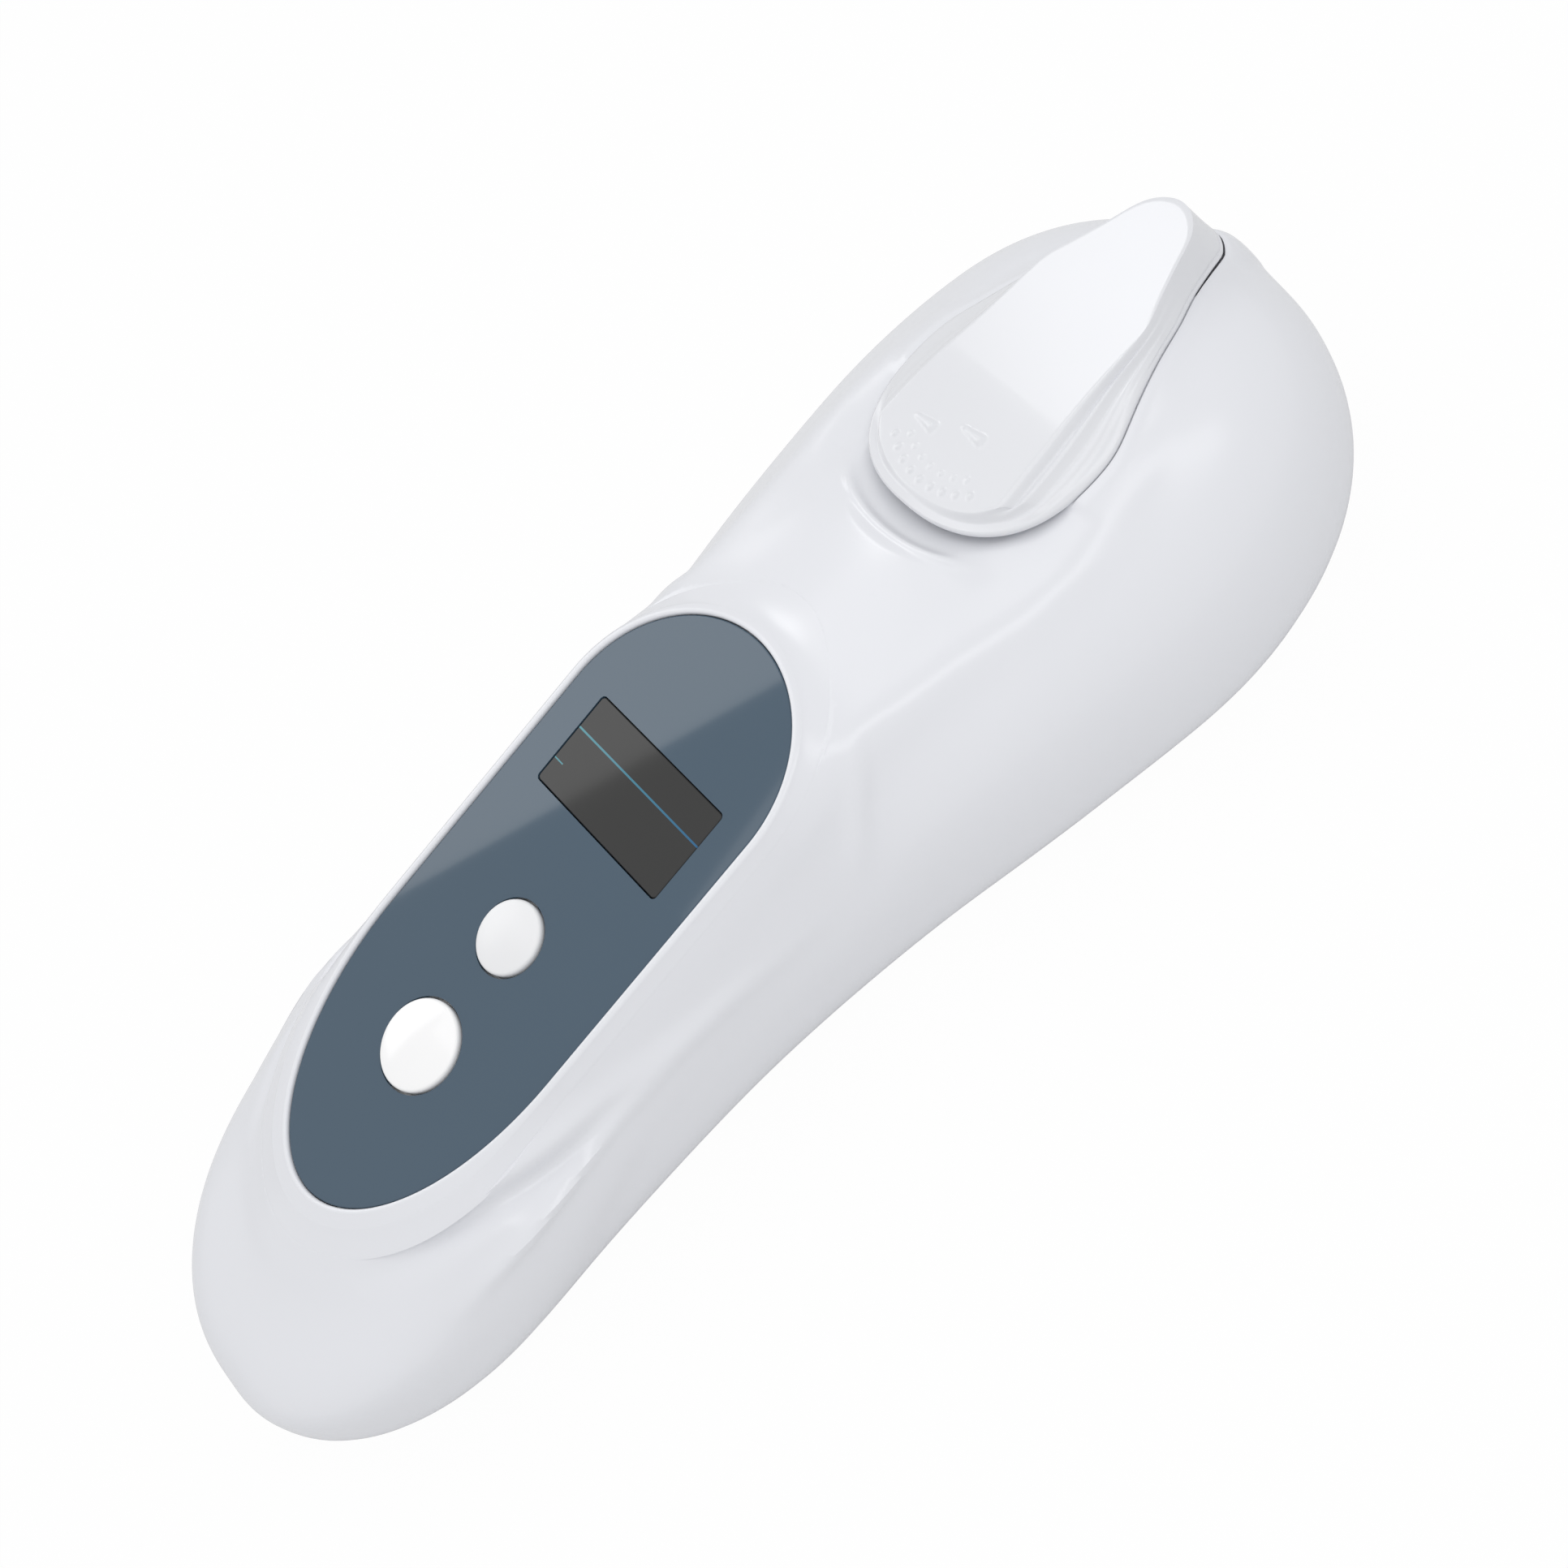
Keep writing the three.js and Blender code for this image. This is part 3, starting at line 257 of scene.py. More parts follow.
rim_corners = lid_corners(0, rim_back)
rim_steps = np.roll(rim_corners, -1, 0) - rim_corners
rim_knots = np.concatenate([[0], np.cumsum(np.hypot(rim_steps[:, 0], rim_steps[:, 1]))])
rim_places = np.linspace(0, rim_knots[-1], 361)[:-1]
rim_outline = closed_curve(rim_corners, rim_knots, rim_places)
plate_outline = closed_curve(lid_corners(2.2, plate_back), rim_knots, rim_places)


def lid_edge(x, y):
    """Height of the lid's lower edge: it drops with the square of the share across, and with the
    square of the share back from a little past the middle."""
    across = np.minimum(np.abs(y) / lid_half_width, 1)
    back = np.clip(((x - lid_front_x) / lid_length - edge_level_share) / edge_falling_share, 0, 1)
    return lid_top - edge_depth - edge_side_drop * across ** 2 - edge_nose_drop * back ** 2


# Map of the distance to the lid's outline, outside it and inside it, half a millimetre a square
map_square = 0.5
map_x, map_y = np.arange(24, 104, map_square), np.arange(-34, 34.5, map_square)
map_places = np.stack(np.meshgrid(map_x, map_y, indexing="ij"), -1)
map_far = map_places[:, :, None, :] - rim_outline
map_near = np.argmin((map_far ** 2).sum(-1), -1)[..., None, None]
map_step = np.take_along_axis(map_far, map_near, 2)[:, :, 0]
map_normal = (grown(rim_outline, 1) - rim_outline)[map_near[..., 0, 0]]
lid_map = np.hypot(map_step[..., 0], map_step[..., 1]) * np.sign((map_step * map_normal).sum(-1))
seat_depths = [-2, 0, 0.6, 2.2, 6, 12]
seat_spreads = [0.5, 1.0, 1.6, 3.0, 4.6, 6.0]
seat_levels = np.linspace(-2, 12, 281)
seat_skirt = table_curve(seat_depths, seat_spreads, seat_levels, 0.3)
seat_edge_fillet, seat_end_z, seat_end_fillet = 0.6, 17, 6.0
nose_start, nose_run, nose_shrink = 78, 12, 0.45


def lid_distance(x, y):
    """Distance to the lid's outline seen from above, read between the four nearest map squares."""
    i = np.clip((x - map_x[0]) / map_square, 0, len(map_x) - 1.001)
    j = np.clip((y - map_y[0]) / map_square, 0, len(map_y) - 1.001)
    a, b = i.astype(int), j.astype(int)
    s, t = i - a, j - b
    return ((lid_map[a, b] * (1 - t) + lid_map[a, b + 1] * t) * (1 - s)
            + (lid_map[a + 1, b] * (1 - t) + lid_map[a + 1, b + 1] * t) * s)


def seat_gap(x, y, z):
    """Gap to the lid's seat: the distance to the outline less the seat's spread at this depth,
    closed on top just under the lid's edge and ended above the seam. The spread shrinks round the
    nose, and the gap is scaled down a little, as the seat's side leans."""
    depth = lid_edge(x, y) - lid_clearance - z
    nose = np.clip((x - nose_start) / nose_run, 0, 1)
    spread = np.interp(depth, seat_levels, seat_skirt) * (1 - nose_shrink * nose * nose * (3 - 2 * nose))
    side = (lid_distance(x, y) - spread) * 0.8
    return -joined(joined(-side, depth, seat_edge_fillet), z - seat_end_z, seat_end_fillet)


# Finger scoop in front of the lid: a dish in the casing's top whose depth falls to nothing at an
# ellipse. Its rim is crisp in front of the lid and fades out at the sides.
scoop_x = lid_front_x + 8.6
scoop_reach, scoop_half, scoop_deep = 10.8, 15.5, 3.0
scoop_back = dish_x - 15


def scoop_gap(x, y, z, section):
    """Gap to the scoop's space: the height of the dish's floor over the point, where the floor is
    the casing's top less the depth times one minus the squared share out to the ellipse. It is
    scaled down a little, as the floor leans, and ends at a plane under the lid."""
    half, middle, rise, _, power, _ = section
    top = middle + rise * (1 - np.minimum(np.abs(y) / half, 1) ** power) ** (1 / power)
    out = ((x - scoop_x) / scoop_reach) ** 2 + (y / scoop_half) ** 2
    floor = top - scoop_deep * (1 - out)
    return -joined(-(floor - z) * 0.85, (scoop_back - x) + 0 * y, 1.0)


# Fillets where the forms meet: the plateau's is wider along the ramp toward the head and at the tail,
# and the scoop's edge is sharp in the middle and softer toward its sides
plateau_fillet, ramp_fillet, tail_fillet = 3.5, 4.5, 6
ramp_start, ramp_run, tail_start, tail_run = 14, 22, 34, 18
seat_fillet = 2.2
scoop_fillet, scoop_side_fillet, scoop_side_start, scoop_side_run = 0.35, 2.2, 7, 8


def form_gap(x, y, z):
    """Gap to the whole outer form: casing, plateau and lid seat run together with fillets, less the
    finger scoop."""
    section = casing_section(x)
    up = z - section[1]
    spoke = np.hypot(y, up) + 1e-9
    casing = spoke - casing_reach(section, y / spoke, up / spoke)
    ramp = np.clip((x - ramp_start) / ramp_run, 0, 1)
    tail = np.clip((-x - tail_start) / tail_run, 0, 1)
    fillet = plateau_fillet + ramp_fillet * ramp * ramp * (3 - 2 * ramp) + tail_fillet * tail
    whole = joined(joined(casing, plateau_gap(x, y, z), fillet), seat_gap(x, y, z), seat_fillet)
    side = np.clip((np.abs(y) - scoop_side_start) / scoop_side_run, 0, 1)
    return -joined(-whole, scoop_gap(x, y, z, section), scoop_fillet + scoop_side_fillet * side * side)


# Skin of the casing, before it is cut: spokes from the middle of each section out to the form. The
# sections crowd together at both ends and round the scoop.
crowded_x, crowded_half = 46, 13
highest_rise, scoop_dip, scoop_dip_x, scoop_dip_half = 15, 8, 47, 11
share = np.linspace(0, 1, 20001)
crowd = 1 / (np.pi * np.sqrt(share * (1 - share) + 1e-7))
crowd += 1.4 * np.exp(-(np.abs(tail_x + body_length * share - crowded_x) / crowded_half) ** 6)
crowd = np.cumsum(crowd)
skin_stations = np.interp(np.arange(1, 480) / 480, (crowd - crowd[0]) / (crowd[-1] - crowd[0]), share)
skin_x = (tail_x + body_length * skin_stations)[:, None]
skin_angles = np.concatenate([np.linspace(0, np.pi, 137)[:-1], np.linspace(np.pi, 2 * np.pi, 73)[:-1]])
spoke_across, spoke_up = np.cos(skin_angles)[None], np.sin(skin_angles)[None]
skin_section = casing_section(skin_x)
bare_reach = casing_reach(skin_section, spoke_across, spoke_up)
in_scoop = (np.abs(skin_x - scoop_dip_x) < scoop_dip_half) & (spoke_up > 0.4)
skin_reach = outermost(
    lambda reach: form_gap(skin_x, reach * spoke_across, skin_section[1] + reach * spoke_up),
    bare_reach - np.where(in_scoop, scoop_dip, 0.02), bare_reach + highest_rise, steps=60)
flank_radius = 26


def pressed(path, width, angles, reach):
    """Low ridge or shallow valley along both flanks: its height times a bell of the distance from
    its path, which is given by x, angle from level in degrees, and height, and measured square to
    the path on the skin."""
    x, angle, height = np.array(path, float).T
    middle = np.radians(np.interp(skin_x, x, angle))
    lean = np.gradient(middle[:, 0], skin_x[:, 0])[:, None] * flank_radius
    folded = np.where(angles > np.pi / 2, np.pi - angles, angles)
    away = (folded - middle) * reach / np.sqrt(1 + lean ** 2)
    places = np.linspace(x[0], x[-1], 200)
    rise = np.interp(skin_x, places, table_curve(x, height, places, 1.5)) * (skin_x > x[0]) * (skin_x < x[-1])
    return rise * np.exp(-(away / width) ** 2)


# Low forms of both flanks as x, angle and height: the bend beside the panel's tail with its two ridges
# and the crest of the lower one, the shoulder beside the lid, and the crease between panel and neck
flank_valley = [(-72, 42, 0), (-63, 37, -0.9), (-57, 34, -1.5), (-51, 30.8, -1.6), (-45, 28.2, -1.3),
                (-40, 26.5, -0.8), (-35, 26.5, -0.35), (-29, 27, 0)]
lower_ridge = [(-67, 17, 0), (-58, 18.8, 0.65), (-52, 19.5, 0.9), (-47, 20.8, 0.95), (-36, 23.6, 0.85),
               (-23, 25.2, 0.7), (-16, 25.2, 0.55), (-7, 23.2, 0.25), (3, 23, 0)]
crest = [(-61, 18.6, 0), (-56, 19.2, 0.3), (-47, 20.8, 0.42), (-40, 22.6, 0.35), (-32, 24.4, 0)]
upper_ridge = [(-66, 46, 0), (-57, 39, 0.35), (-51, 35.5, 0.55), (-45, 33, 0.6), (-34, 30.5, 0.5),
               (-25, 28.5, 0.3), (-17, 27, 0)]
shoulder = [(12, 52, 0), (16, 51, 0.4), (24, 48.5, 0.8), (34, 46.5, 0.9), (44, 45, 0.9), (56, 45, 0.8),
            (66, 47, 0.5), (76, 50, 0)]
crease = [(5, 23, 0), (8.4, 30, 0.3), (13, 40, 0.5), (16.6, 47, 0.3), (19, 52, 0)]
for path, width in ((flank_valley, 1.9), (lower_ridge, 1.6), (crest, 0.9), (upper_ridge, 1.5),
                    (shoulder, 3.8), (crease, 1.5)):
    skin_reach = skin_reach + pressed(path, width, skin_angles[None], skin_reach)
# Bright bead along the scoop's edge, fading toward its ends
bead_height, bead_share, bead_width, bead_half, bead_fade = 0.5, 1.15, 0.6, 8, 3.5
skin_y = skin_reach * spoke_across
scoop_share = np.sqrt(((skin_x - scoop_x) / scoop_reach) ** 2 + (skin_y / scoop_half) ** 2)
bead = bead_height * np.exp(-((scoop_share - bead_share) * scoop_reach / bead_width) ** 2)
bead = bead * np.exp(-((np.abs(skin_y) - bead_half).clip(0) / bead_fade) ** 2)
skin_reach = skin_reach + bead * (spoke_up > 0.4) * (skin_x < scoop_x)
skin_rings = np.stack(np.broadcast_arrays(
    skin_x, skin_reach * spoke_across, skin_section[1] + skin_reach * spoke_up), -1)


def lay_mesh(name, points, faces):
    """New mesh object with its points given in millimetres and its place in its mesh."""
    mesh = bpy.data.meshes.new(name)
    mesh.from_pydata((np.asarray(points) * 0.001).tolist(), [], faces)
    mesh.validate()
    piece = bpy.data.objects.new(name, mesh)
    bpy.context.scene.collection.objects.link(piece)
    return piece


def lofted(name, rings, first=None, last=None, hoop=False):
    """Closed skin over rings of points, each joined to the next. A fan closes each end at the point
    given, or at the ring's mean; a hoop joins its last ring to its first instead."""
    rings = np.asarray(rings, float)
    count, around = rings.shape[:2]
    row = np.arange(count if hoop else count - 1)[:, None]
    low = row * around
    high = (row + 1) % count * around
    j = np.arange(around)[None]
    k = (j + 1) % around
    quads = np.stack([low + j, low + k, high + k, high + j], -1).reshape(-1, 4).tolist()
    points = rings.reshape(-1, 3)
    if hoop:
        return lay_mesh(name, points, quads)
    ends = [rings[0].mean(0) if first is None else first, rings[-1].mean(0) if last is None else last]
    points = np.concatenate([points, np.asarray(ends, float)])
    j, k = j[0], k[0]
    start = np.stack([np.full(around, count * around), k, j], -1).tolist()
    over = (count - 1) * around
    end = np.stack([np.full(around, count * around + 1), over + j, over + k], -1).tolist()
    return lay_mesh(name, points, quads + start + end)


def carved(piece, work, cutter):
    """The piece after a cut, join or shared part with a cutter, which is then cleared away."""
    change = piece.modifiers.new("cut", "BOOLEAN")
    change.operation = work
    change.solver = "MANIFOLD"
    change.object = cutter
    bpy.context.view_layer.update()
    done = bpy.data.meshes.new_from_object(piece.evaluated_get(bpy.context.evaluated_depsgraph_get()))
    piece.modifiers.clear()
    before = piece.data
    piece.data = done
    done.name = piece.name
    bpy.data.meshes.remove(before)
    bpy.data.objects.remove(cutter)
    return piece


def cut(piece, *cutters):
    """The piece less each cutter in turn."""
    for cutter in cutters:
        piece = carved(piece, "DIFFERENCE", cutter)
    return piece


def at_height(outline, z):
    """An outline seen from above, as a ring at one height."""
    return np.column_stack([outline, np.full(len(outline), z)])


def block(x0, x1, y0, y1, z0, z1):
    """Cutter with square corners, as two square rings."""
    ring = np.array([[x0, y0], [x1, y0], [x1, y1], [x0, y1]], float)
    return lofted("cutter", [at_height(ring, z) for z in (z0, z1)])


def turned(name, profile, middle, axis="z", around=96):
    """Profile of (radius, height) pairs turned about an upright line, or one across the body."""
    angle = 2 * np.pi * np.arange(around) / around
    radius, height = np.asarray(profile, float).T[:, :, None]
    a, b = radius * np.cos(angle), radius * np.sin(angle)
    h = height + 0 * angle
    rings = np.stack({"z": (a, b, h), "y": (b, h, a), "x": (h, a, b)}[axis], -1)
    rings = rings + np.asarray(middle, float)
    ends = rings[[0, -1]].mean(1)
    return lofted(name, rings, ends[0], ends[1])


def smoothed(piece, angle=35):
    """Smooth shading that keeps edges sharper than the angle."""
    piece.data.shade_smooth()
    piece.data.set_sharp_from_angle(angle=math.radians(angle))
    return piece


def feed(tree, socket, value):
    """Sets a node's socket, or links another node's output into it."""
    if isinstance(value, bpy.types.NodeSocket):
        tree.links.new(value, socket)
    else:
        socket.default_value = value


def added(tree, kind, inputs, **settings):
    """New node of a kind, with its settings and what goes into its inputs."""
    node = tree.nodes.new("ShaderNode" + kind)
    for key, value in settings.items():
        setattr(node, key, value)
    for key, value in inputs.items():
        feed(tree, node.inputs[key], value)
    return node


def surface_inputs(material):
    """What goes into the surface of a material."""
    return material.node_tree.nodes["Principled BSDF"].inputs


def moulded(name, colour, roughness, mottle=0.01, grain=900, depth=0.00001, specular=0.5, patch=60,
            stretch=None):
    """Moulded plastic or rubber: its colour drifts a little from place to place, its gloss varies
    in soft patches, and a fine grain, which may be stretched, lifts its surface."""
    material = bpy.data.materials.new(name)
    material.use_nodes = True
    tree = material.node_tree
    place = added(tree, "TexCoord", {}).outputs["Object"]
    drift = added(tree, "TexNoise", {"Scale": patch, "Detail": 3, "Vector": place}).outputs["Fac"]
    dark = (*[c * (1 - mottle) for c in colour], 1)
    pale = (*[min(c * (1 + mottle), 1) for c in colour], 1)
    shade = added(tree, "Mix", {"A": dark, "B": pale, "Factor": drift}, data_type="RGBA")
    gloss = added(tree, "MapRange", {"To Min": roughness * 0.85, "To Max": roughness * 1.15, "Value": drift})
    if stretch:
        place = added(tree, "Mapping", {"Scale": stretch, "Vector": place}).outputs["Vector"]
    fine = added(tree, "TexNoise", {"Scale": grain, "Detail": 2, "Vector": place})
    bump = added(tree, "Bump", {"Strength": 0.5, "Distance": depth, "Height": fine.outputs["Fac"]})
    for key, value in (("Base Color", shade.outputs["Result"]), ("Roughness", gloss.outputs["Result"]),
                       ("Normal", bump.outputs["Normal"]), ("Specular IOR Level", specular)):
        feed(tree, surface_inputs(material)[key], value)
    return material


def finished(piece, material, body, slot, *nodes):
    """Gives a piece its material and body, and hides the CAD nodes that it stands for. Its slot is not used.
    """
    piece.data.materials.clear()
    piece.data.materials.append(material)
    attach(piece, body)
    if nodes:
        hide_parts(*nodes)
    return piece


# Upper shell. The real one is a glossy white ABS moulding: it carries the panel, the scoop in front
# of the lid, the sample well and the hinge arm, and screws to the lower shell from below. It is the
# casing's form above the parting line, hollowed, with those places cut in.
white_abs = moulded("glossy_white_abs", (0.798, 0.809, 0.848), 0.22, mottle=0.006, grain=420,
                    depth=0.000006)
parting_z, parting_gap = 5.0, 0.15
shell_wall = 2.4
outer_ends = [(tail_x, 0, float(casing_section(np.array([tail_x]))[1][0])),
              (-tail_x, 0, float(casing_section(np.array([-tail_x]))[1][0]))]


def casing_core(grow, stations, sides):
    """Closed form of the casing alone, grown or shrunk, as superellipse rings along its length."""
    share = 0.5 - 0.5 * np.cos(np.pi * np.arange(1, stations) / stations)
    x = (tail_x - grow + (body_length + 2 * grow) * share)[:, None]
    angle = (2 * np.pi * np.arange(sides) / sides)[None]
    section = casing_section(x, grow)
    reach = casing_reach(section, np.cos(angle), np.sin(angle))
    return lofted("core", np.stack(np.broadcast_arrays(
        x, reach * np.cos(angle), section[1] + reach * np.sin(angle)), -1))


groove_radius, groove_half, groove_gap, groove_wall = 8.4, 6.6, 0.12, 1.4
arm_radius, arm_half, arm_run = 2.3, 2.6, 8
pin_hole_radius, pin_hole_half = 1.3, 4.3
dish_top = lid_top - 3.9
dish_seat_radius, dish_seat_depth, well_radius, well_wall_radius, well_wall_depth = 10.1, 1.2, 8.4, 12.5, 3.6
panel_seat, panel_opening_inset = -1.7, -2.2
above = 80


def rod(radius, half, x=hinge_x, z=hinge_z):
    """Plain rod across the body, as a cutter."""
    return turned("cutter", [(radius, -half), (radius, half)], (x, 0, z), "y")


def post(radius, z0, z1, x=dish_x, y=0.0):
    """Plain upright post, as a cutter."""
    return turned("cutter", [(radius, z0), (radius, z1)], (x, y, 0))


def outline_on_panel(grow, count=320):
    """The panel's outline in its own plane, counterclockwise: half an ellipse at each end."""
    angle = 2 * np.pi * np.arange(count) / count
    c = np.cos(angle)
    middle = np.where(c >= 0, panel_head_middle, panel_tail_middle)
    reach = np.where(c >= 0, panel_head_reach, panel_tail_reach) + grow
    return middle + reach * c, (panel_half_width + grow) * np.sin(angle)


def panel_prism(grow, low, high):
    """Cutter with the panel's outline, between two levels of the panel's frame."""
    u, v = outline_on_panel(grow)
    return lofted("cutter", [from_panel(u, v, w) for w in (low, high)])


def lid_space():
    """Space that the lid lies in: its outline grown by the clearance, from above everything down to
    the clearance under the lid's edge."""
    outline = grown(rim_outline, lid_clearance)
    middle = np.array([dish_x, 0])
    shares = np.array([0.12, 0.25, 0.4, 0.55, 0.7, 0.82, 0.92, 1])[:, None, None]
    rings = middle + (outline - middle) * shares
    rings = np.concatenate([rings, lid_edge(rings[..., 0], rings[..., 1])[..., None] - lid_clearance], -1)
    return lofted("cutter", np.concatenate([rings, at_height(outline, above)[None]]),
                  (dish_x, 0, float(lid_edge(dish_x, 0)) - lid_clearance))


upper = lofted("upper_casing", skin_rings, *outer_ends)
upper = carved(upper, "INTERSECT", block(-200, 200, -200, 200, parting_z + parting_gap, above))
under_scoop_z, under_scoop_x_half, under_scoop_y_half, under_scoop_z_half = 37, 15, 20, 7.5
lift = np.linspace(-np.pi / 2, np.pi / 2, 26)[1:-1, None]
turn = np.linspace(0, 2 * np.pi, 97)[None, :-1]
under_scoop = lofted("cutter", np.stack(np.broadcast_arrays(
    scoop_x + under_scoop_x_half * np.cos(lift) * np.cos(turn),
    under_scoop_y_half * np.cos(lift) * np.sin(turn), under_scoop_z + under_scoop_z_half * np.sin(lift)), -1),
    (scoop_x, 0, under_scoop_z - under_scoop_z_half), (scoop_x, 0, under_scoop_z + under_scoop_z_half))
hollow = cut(casing_core(-shell_wall, 90, 72), under_scoop,
             rod(groove_radius + groove_wall, groove_half + groove_wall),
             post(well_wall_radius, dish_top - well_wall_depth, above))
panel_slab = np.array([[-150, -60], [150, -60], [150, 60], [-150, 60]], float)
over_panel = lofted("cutter", [from_panel(*panel_slab.T, w) for w in (panel_seat, 60.0)])
groove = lofted("cutter", [at_height(grown(rim_outline, groove_gap), z) for z in (20.0, 60.0)])
groove = carved(groove, "INTERSECT", rod(groove_radius, groove_half))
upper = cut(upper, hollow, over_panel, panel_prism(panel_opening_inset, -12, 3), lid_space(), groove)
arm = carved(rod(arm_radius, arm_half), "UNION", block(
    hinge_x - arm_run, hinge_x, -arm_half, arm_half, hinge_z - arm_radius, hinge_z + arm_radius))
upper = carved(upper, "UNION", arm)
upper = cut(upper, rod(pin_hole_radius, pin_hole_half),
            post(dish_seat_radius, dish_top - dish_seat_depth, above), post(well_radius, 20, above))
finished(smoothed(upper), white_abs, "housing", "white_shell", "upper_shell")

# Lip round the panel. On the real casing a thin bright bead stands round the display panel, and
# runs straight into the plateau's flank. It is a ring with a rounded top, 0.9 wide and 0.4 high,
# whose outer side follows the casing's form down past the panel's seat and ends a little inside it.
lip_count = 480
lip_angles = 2 * np.pi * np.arange(lip_count) / lip_count
lip_cos, lip_sin = np.cos(lip_angles), np.sin(lip_angles)


def lip_ring(offset, level):
    """Ring of the panel's outline moved outward by an offset, at a level of the panel's frame."""
    u, v = outline_on_panel(0, lip_count)
    reach = np.where(lip_cos >= 0, panel_head_reach, panel_tail_reach)
    normal_u, normal_v = lip_cos / reach, lip_sin / panel_half_width
    length = np.hypot(normal_u, normal_v)
    return from_panel(u + offset * normal_u / length, v + offset * normal_v / length, level)


flank_levels = np.array([0.12, 0.0, -0.15, -0.32, -0.5, -0.7, -0.9, -1.1, -1.3, -1.5, -1.72, -1.95])[:, None]


def flank_gap(offset):
    """Gap to the casing's form at an offset from the panel's outline, for each flank level."""
    ring = lip_ring(offset, flank_levels)
    return form_gap(ring[..., 0], ring[..., 1], ring[..., 2])


flank_start = np.zeros((len(flank_levels), lip_count))
flank_offsets = outermost(flank_gap, flank_start, flank_start + 14, steps=70)
flank_offsets[-1] -= 0.06
lip_top = np.array([[0.0, -1.95], [0.0, -0.6], [0.0, 0.0], [0.03, 0.14], [0.1, 0.27], [0.22, 0.36],
                    [0.38, 0.4], [0.54, 0.4], [0.7, 0.36], [0.83, 0.27]])
lip_rings = [lip_ring(offset, level) for offset, level in lip_top]
lip_rings += [lip_ring(offset, level) for offset, level in zip(flank_offsets, flank_levels[:, 0])]
lip = lofted("panel_lip", lip_rings[::-1], hoop=True)
finished(smoothed(lip, 50), white_abs, "housing", "white_shell", "upper_shell")

# Lower shell. The real one closes the casing from below with four screws and holds the two cells
# behind the door. It is the casing's form under the parting line, with the compartment and the
# screw recesses cut in.
compartment_head = display_x - 3
compartment_tail = compartment_head - 50.4
tail_screw_x, tail_screw_y = tail_x + 0.72 * (compartment_tail - tail_x), 9.747
head_screw_x, head_screw_y = tail_x + 0.772 * body_length, 16.967
screw_places = [(tail_screw_x, -tail_screw_y), (head_screw_x, -head_screw_y),
                (tail_screw_x, tail_screw_y), (head_screw_x, head_screw_y)]
screw_post_radius, screw_hole_radius, screw_recess_radius = 4.0, 1.4, 2.6


def millimetres(box):
    """Both corners of a piece's box, from metres to millimetres."""
    return np.array(box) * 1000


door_low, door_high = millimetres(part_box("battery_door"))


def door_block(grow, z0, z1):
    """Cutter with the door's outline seen from above, grown."""
    return block(door_low[0] - grow, door_high[0] + grow, door_low[1] - grow, door_high[1] + grow, z0, z1)


lower = lofted("lower_casing", skin_rings, *outer_ends)
lower = carved(lower, "INTERSECT", block(-200, 200, -200, 200, 0, parting_z - parting_gap))
lower = cut(lower, casing_core(-shell_wall, 90, 72))
lower = carved(lower, "UNION", door_block(1.5, 1.2, 14.2))
lower = cut(lower, door_block(0.3, -3, 13))
for place_x, place_y in screw_places:
    lower = carved(lower, "UNION", post(screw_post_radius, 1.0, 6.5, place_x, place_y))
    lower = cut(lower, post(screw_hole_radius, -3, 9, place_x, place_y),
                post(screw_recess_radius, -3, 3.0, place_x, place_y))
finished(smoothed(lower), white_abs, "housing", "white_shell", "lower_shell")


# Front panel. The real one is a flat slate-coloured overlay, glossy as a hard-coated film, with a
# window for the display and two round holes for the buttons, glued into a recess inside the lip.
# It is the panel's outline with a small round at its edge, and the openings are cut through it.
slate_film = moulded("glossy_slate_film", (0.053, 0.093, 0.136), 0.035, mottle=0.02, grain=200,
                     depth=0.0000005, patch=30)
panel_tail_length = 62
small_button_u, large_button_u = -0.3653 * panel_tail_length, -0.6447 * panel_tail_length
small_radius, large_radius, button_hole_gap = 4.88, 5.96, 0.3
panel_rings = []
for inset, level in [(0.25, -1.4), (0.13, -1.3), (0.13, -0.16), (0.17, -0.06), (0.29, 0.0)]:
    edge_u, edge_v = outline_on_panel(-inset, 360)
    panel_rings.append(from_panel(edge_u, edge_v, level))
panel = lofted("slate_panel", panel_rings)


def rounded_corners(half_u, half_v, radius, steps=8):
    """Rectangle with round corners, counterclockwise, about the display's centre."""
    turn = np.pi / 2 * np.arange(steps + 1) / steps
    quarter = np.pi / 2 * np.arange(4)[:, None]
    c = np.cos(quarter + turn).ravel()
    s = np.sin(quarter + turn).ravel()
    side_u = np.repeat([1, -1, -1, 1], steps + 1)
    side_v = np.repeat([1, 1, -1, -1], steps + 1)
    return side_u * (half_u - radius) + radius * c, side_v * (half_v - radius) + radius * s


def on_panel_turned(name, profile, u, around=96):
    """Profile of (radius, level) pairs turned about a line that stands upright on the panel."""
    angle = 2 * np.pi * np.arange(around) / around
    radius, level = np.asarray(profile, float).T[:, :, None]
    rings = from_panel(u + radius * np.cos(angle), radius * np.sin(angle), level + 0 * angle)
    ends = rings[[0, -1]].mean(1)
    return lofted(name, rings, ends[0], ends[1])


window_u, window_v = rounded_corners(6.65, 13.1, 0.7)
panel = cut(panel, lofted("cutter", [from_panel(window_u, window_v, w) for w in (-3.0, 3.0)]))
for button_u, radius in ((small_button_u, small_radius), (large_button_u, large_radius)):
    hole = [(radius + button_hole_gap, -3), (radius + button_hole_gap, 3)]
    panel = cut(panel, on_panel_turned("cutter", hole, button_u))
finished(smoothed(panel, 10), slate_film, "housing", "panel_slate", "front_panel")

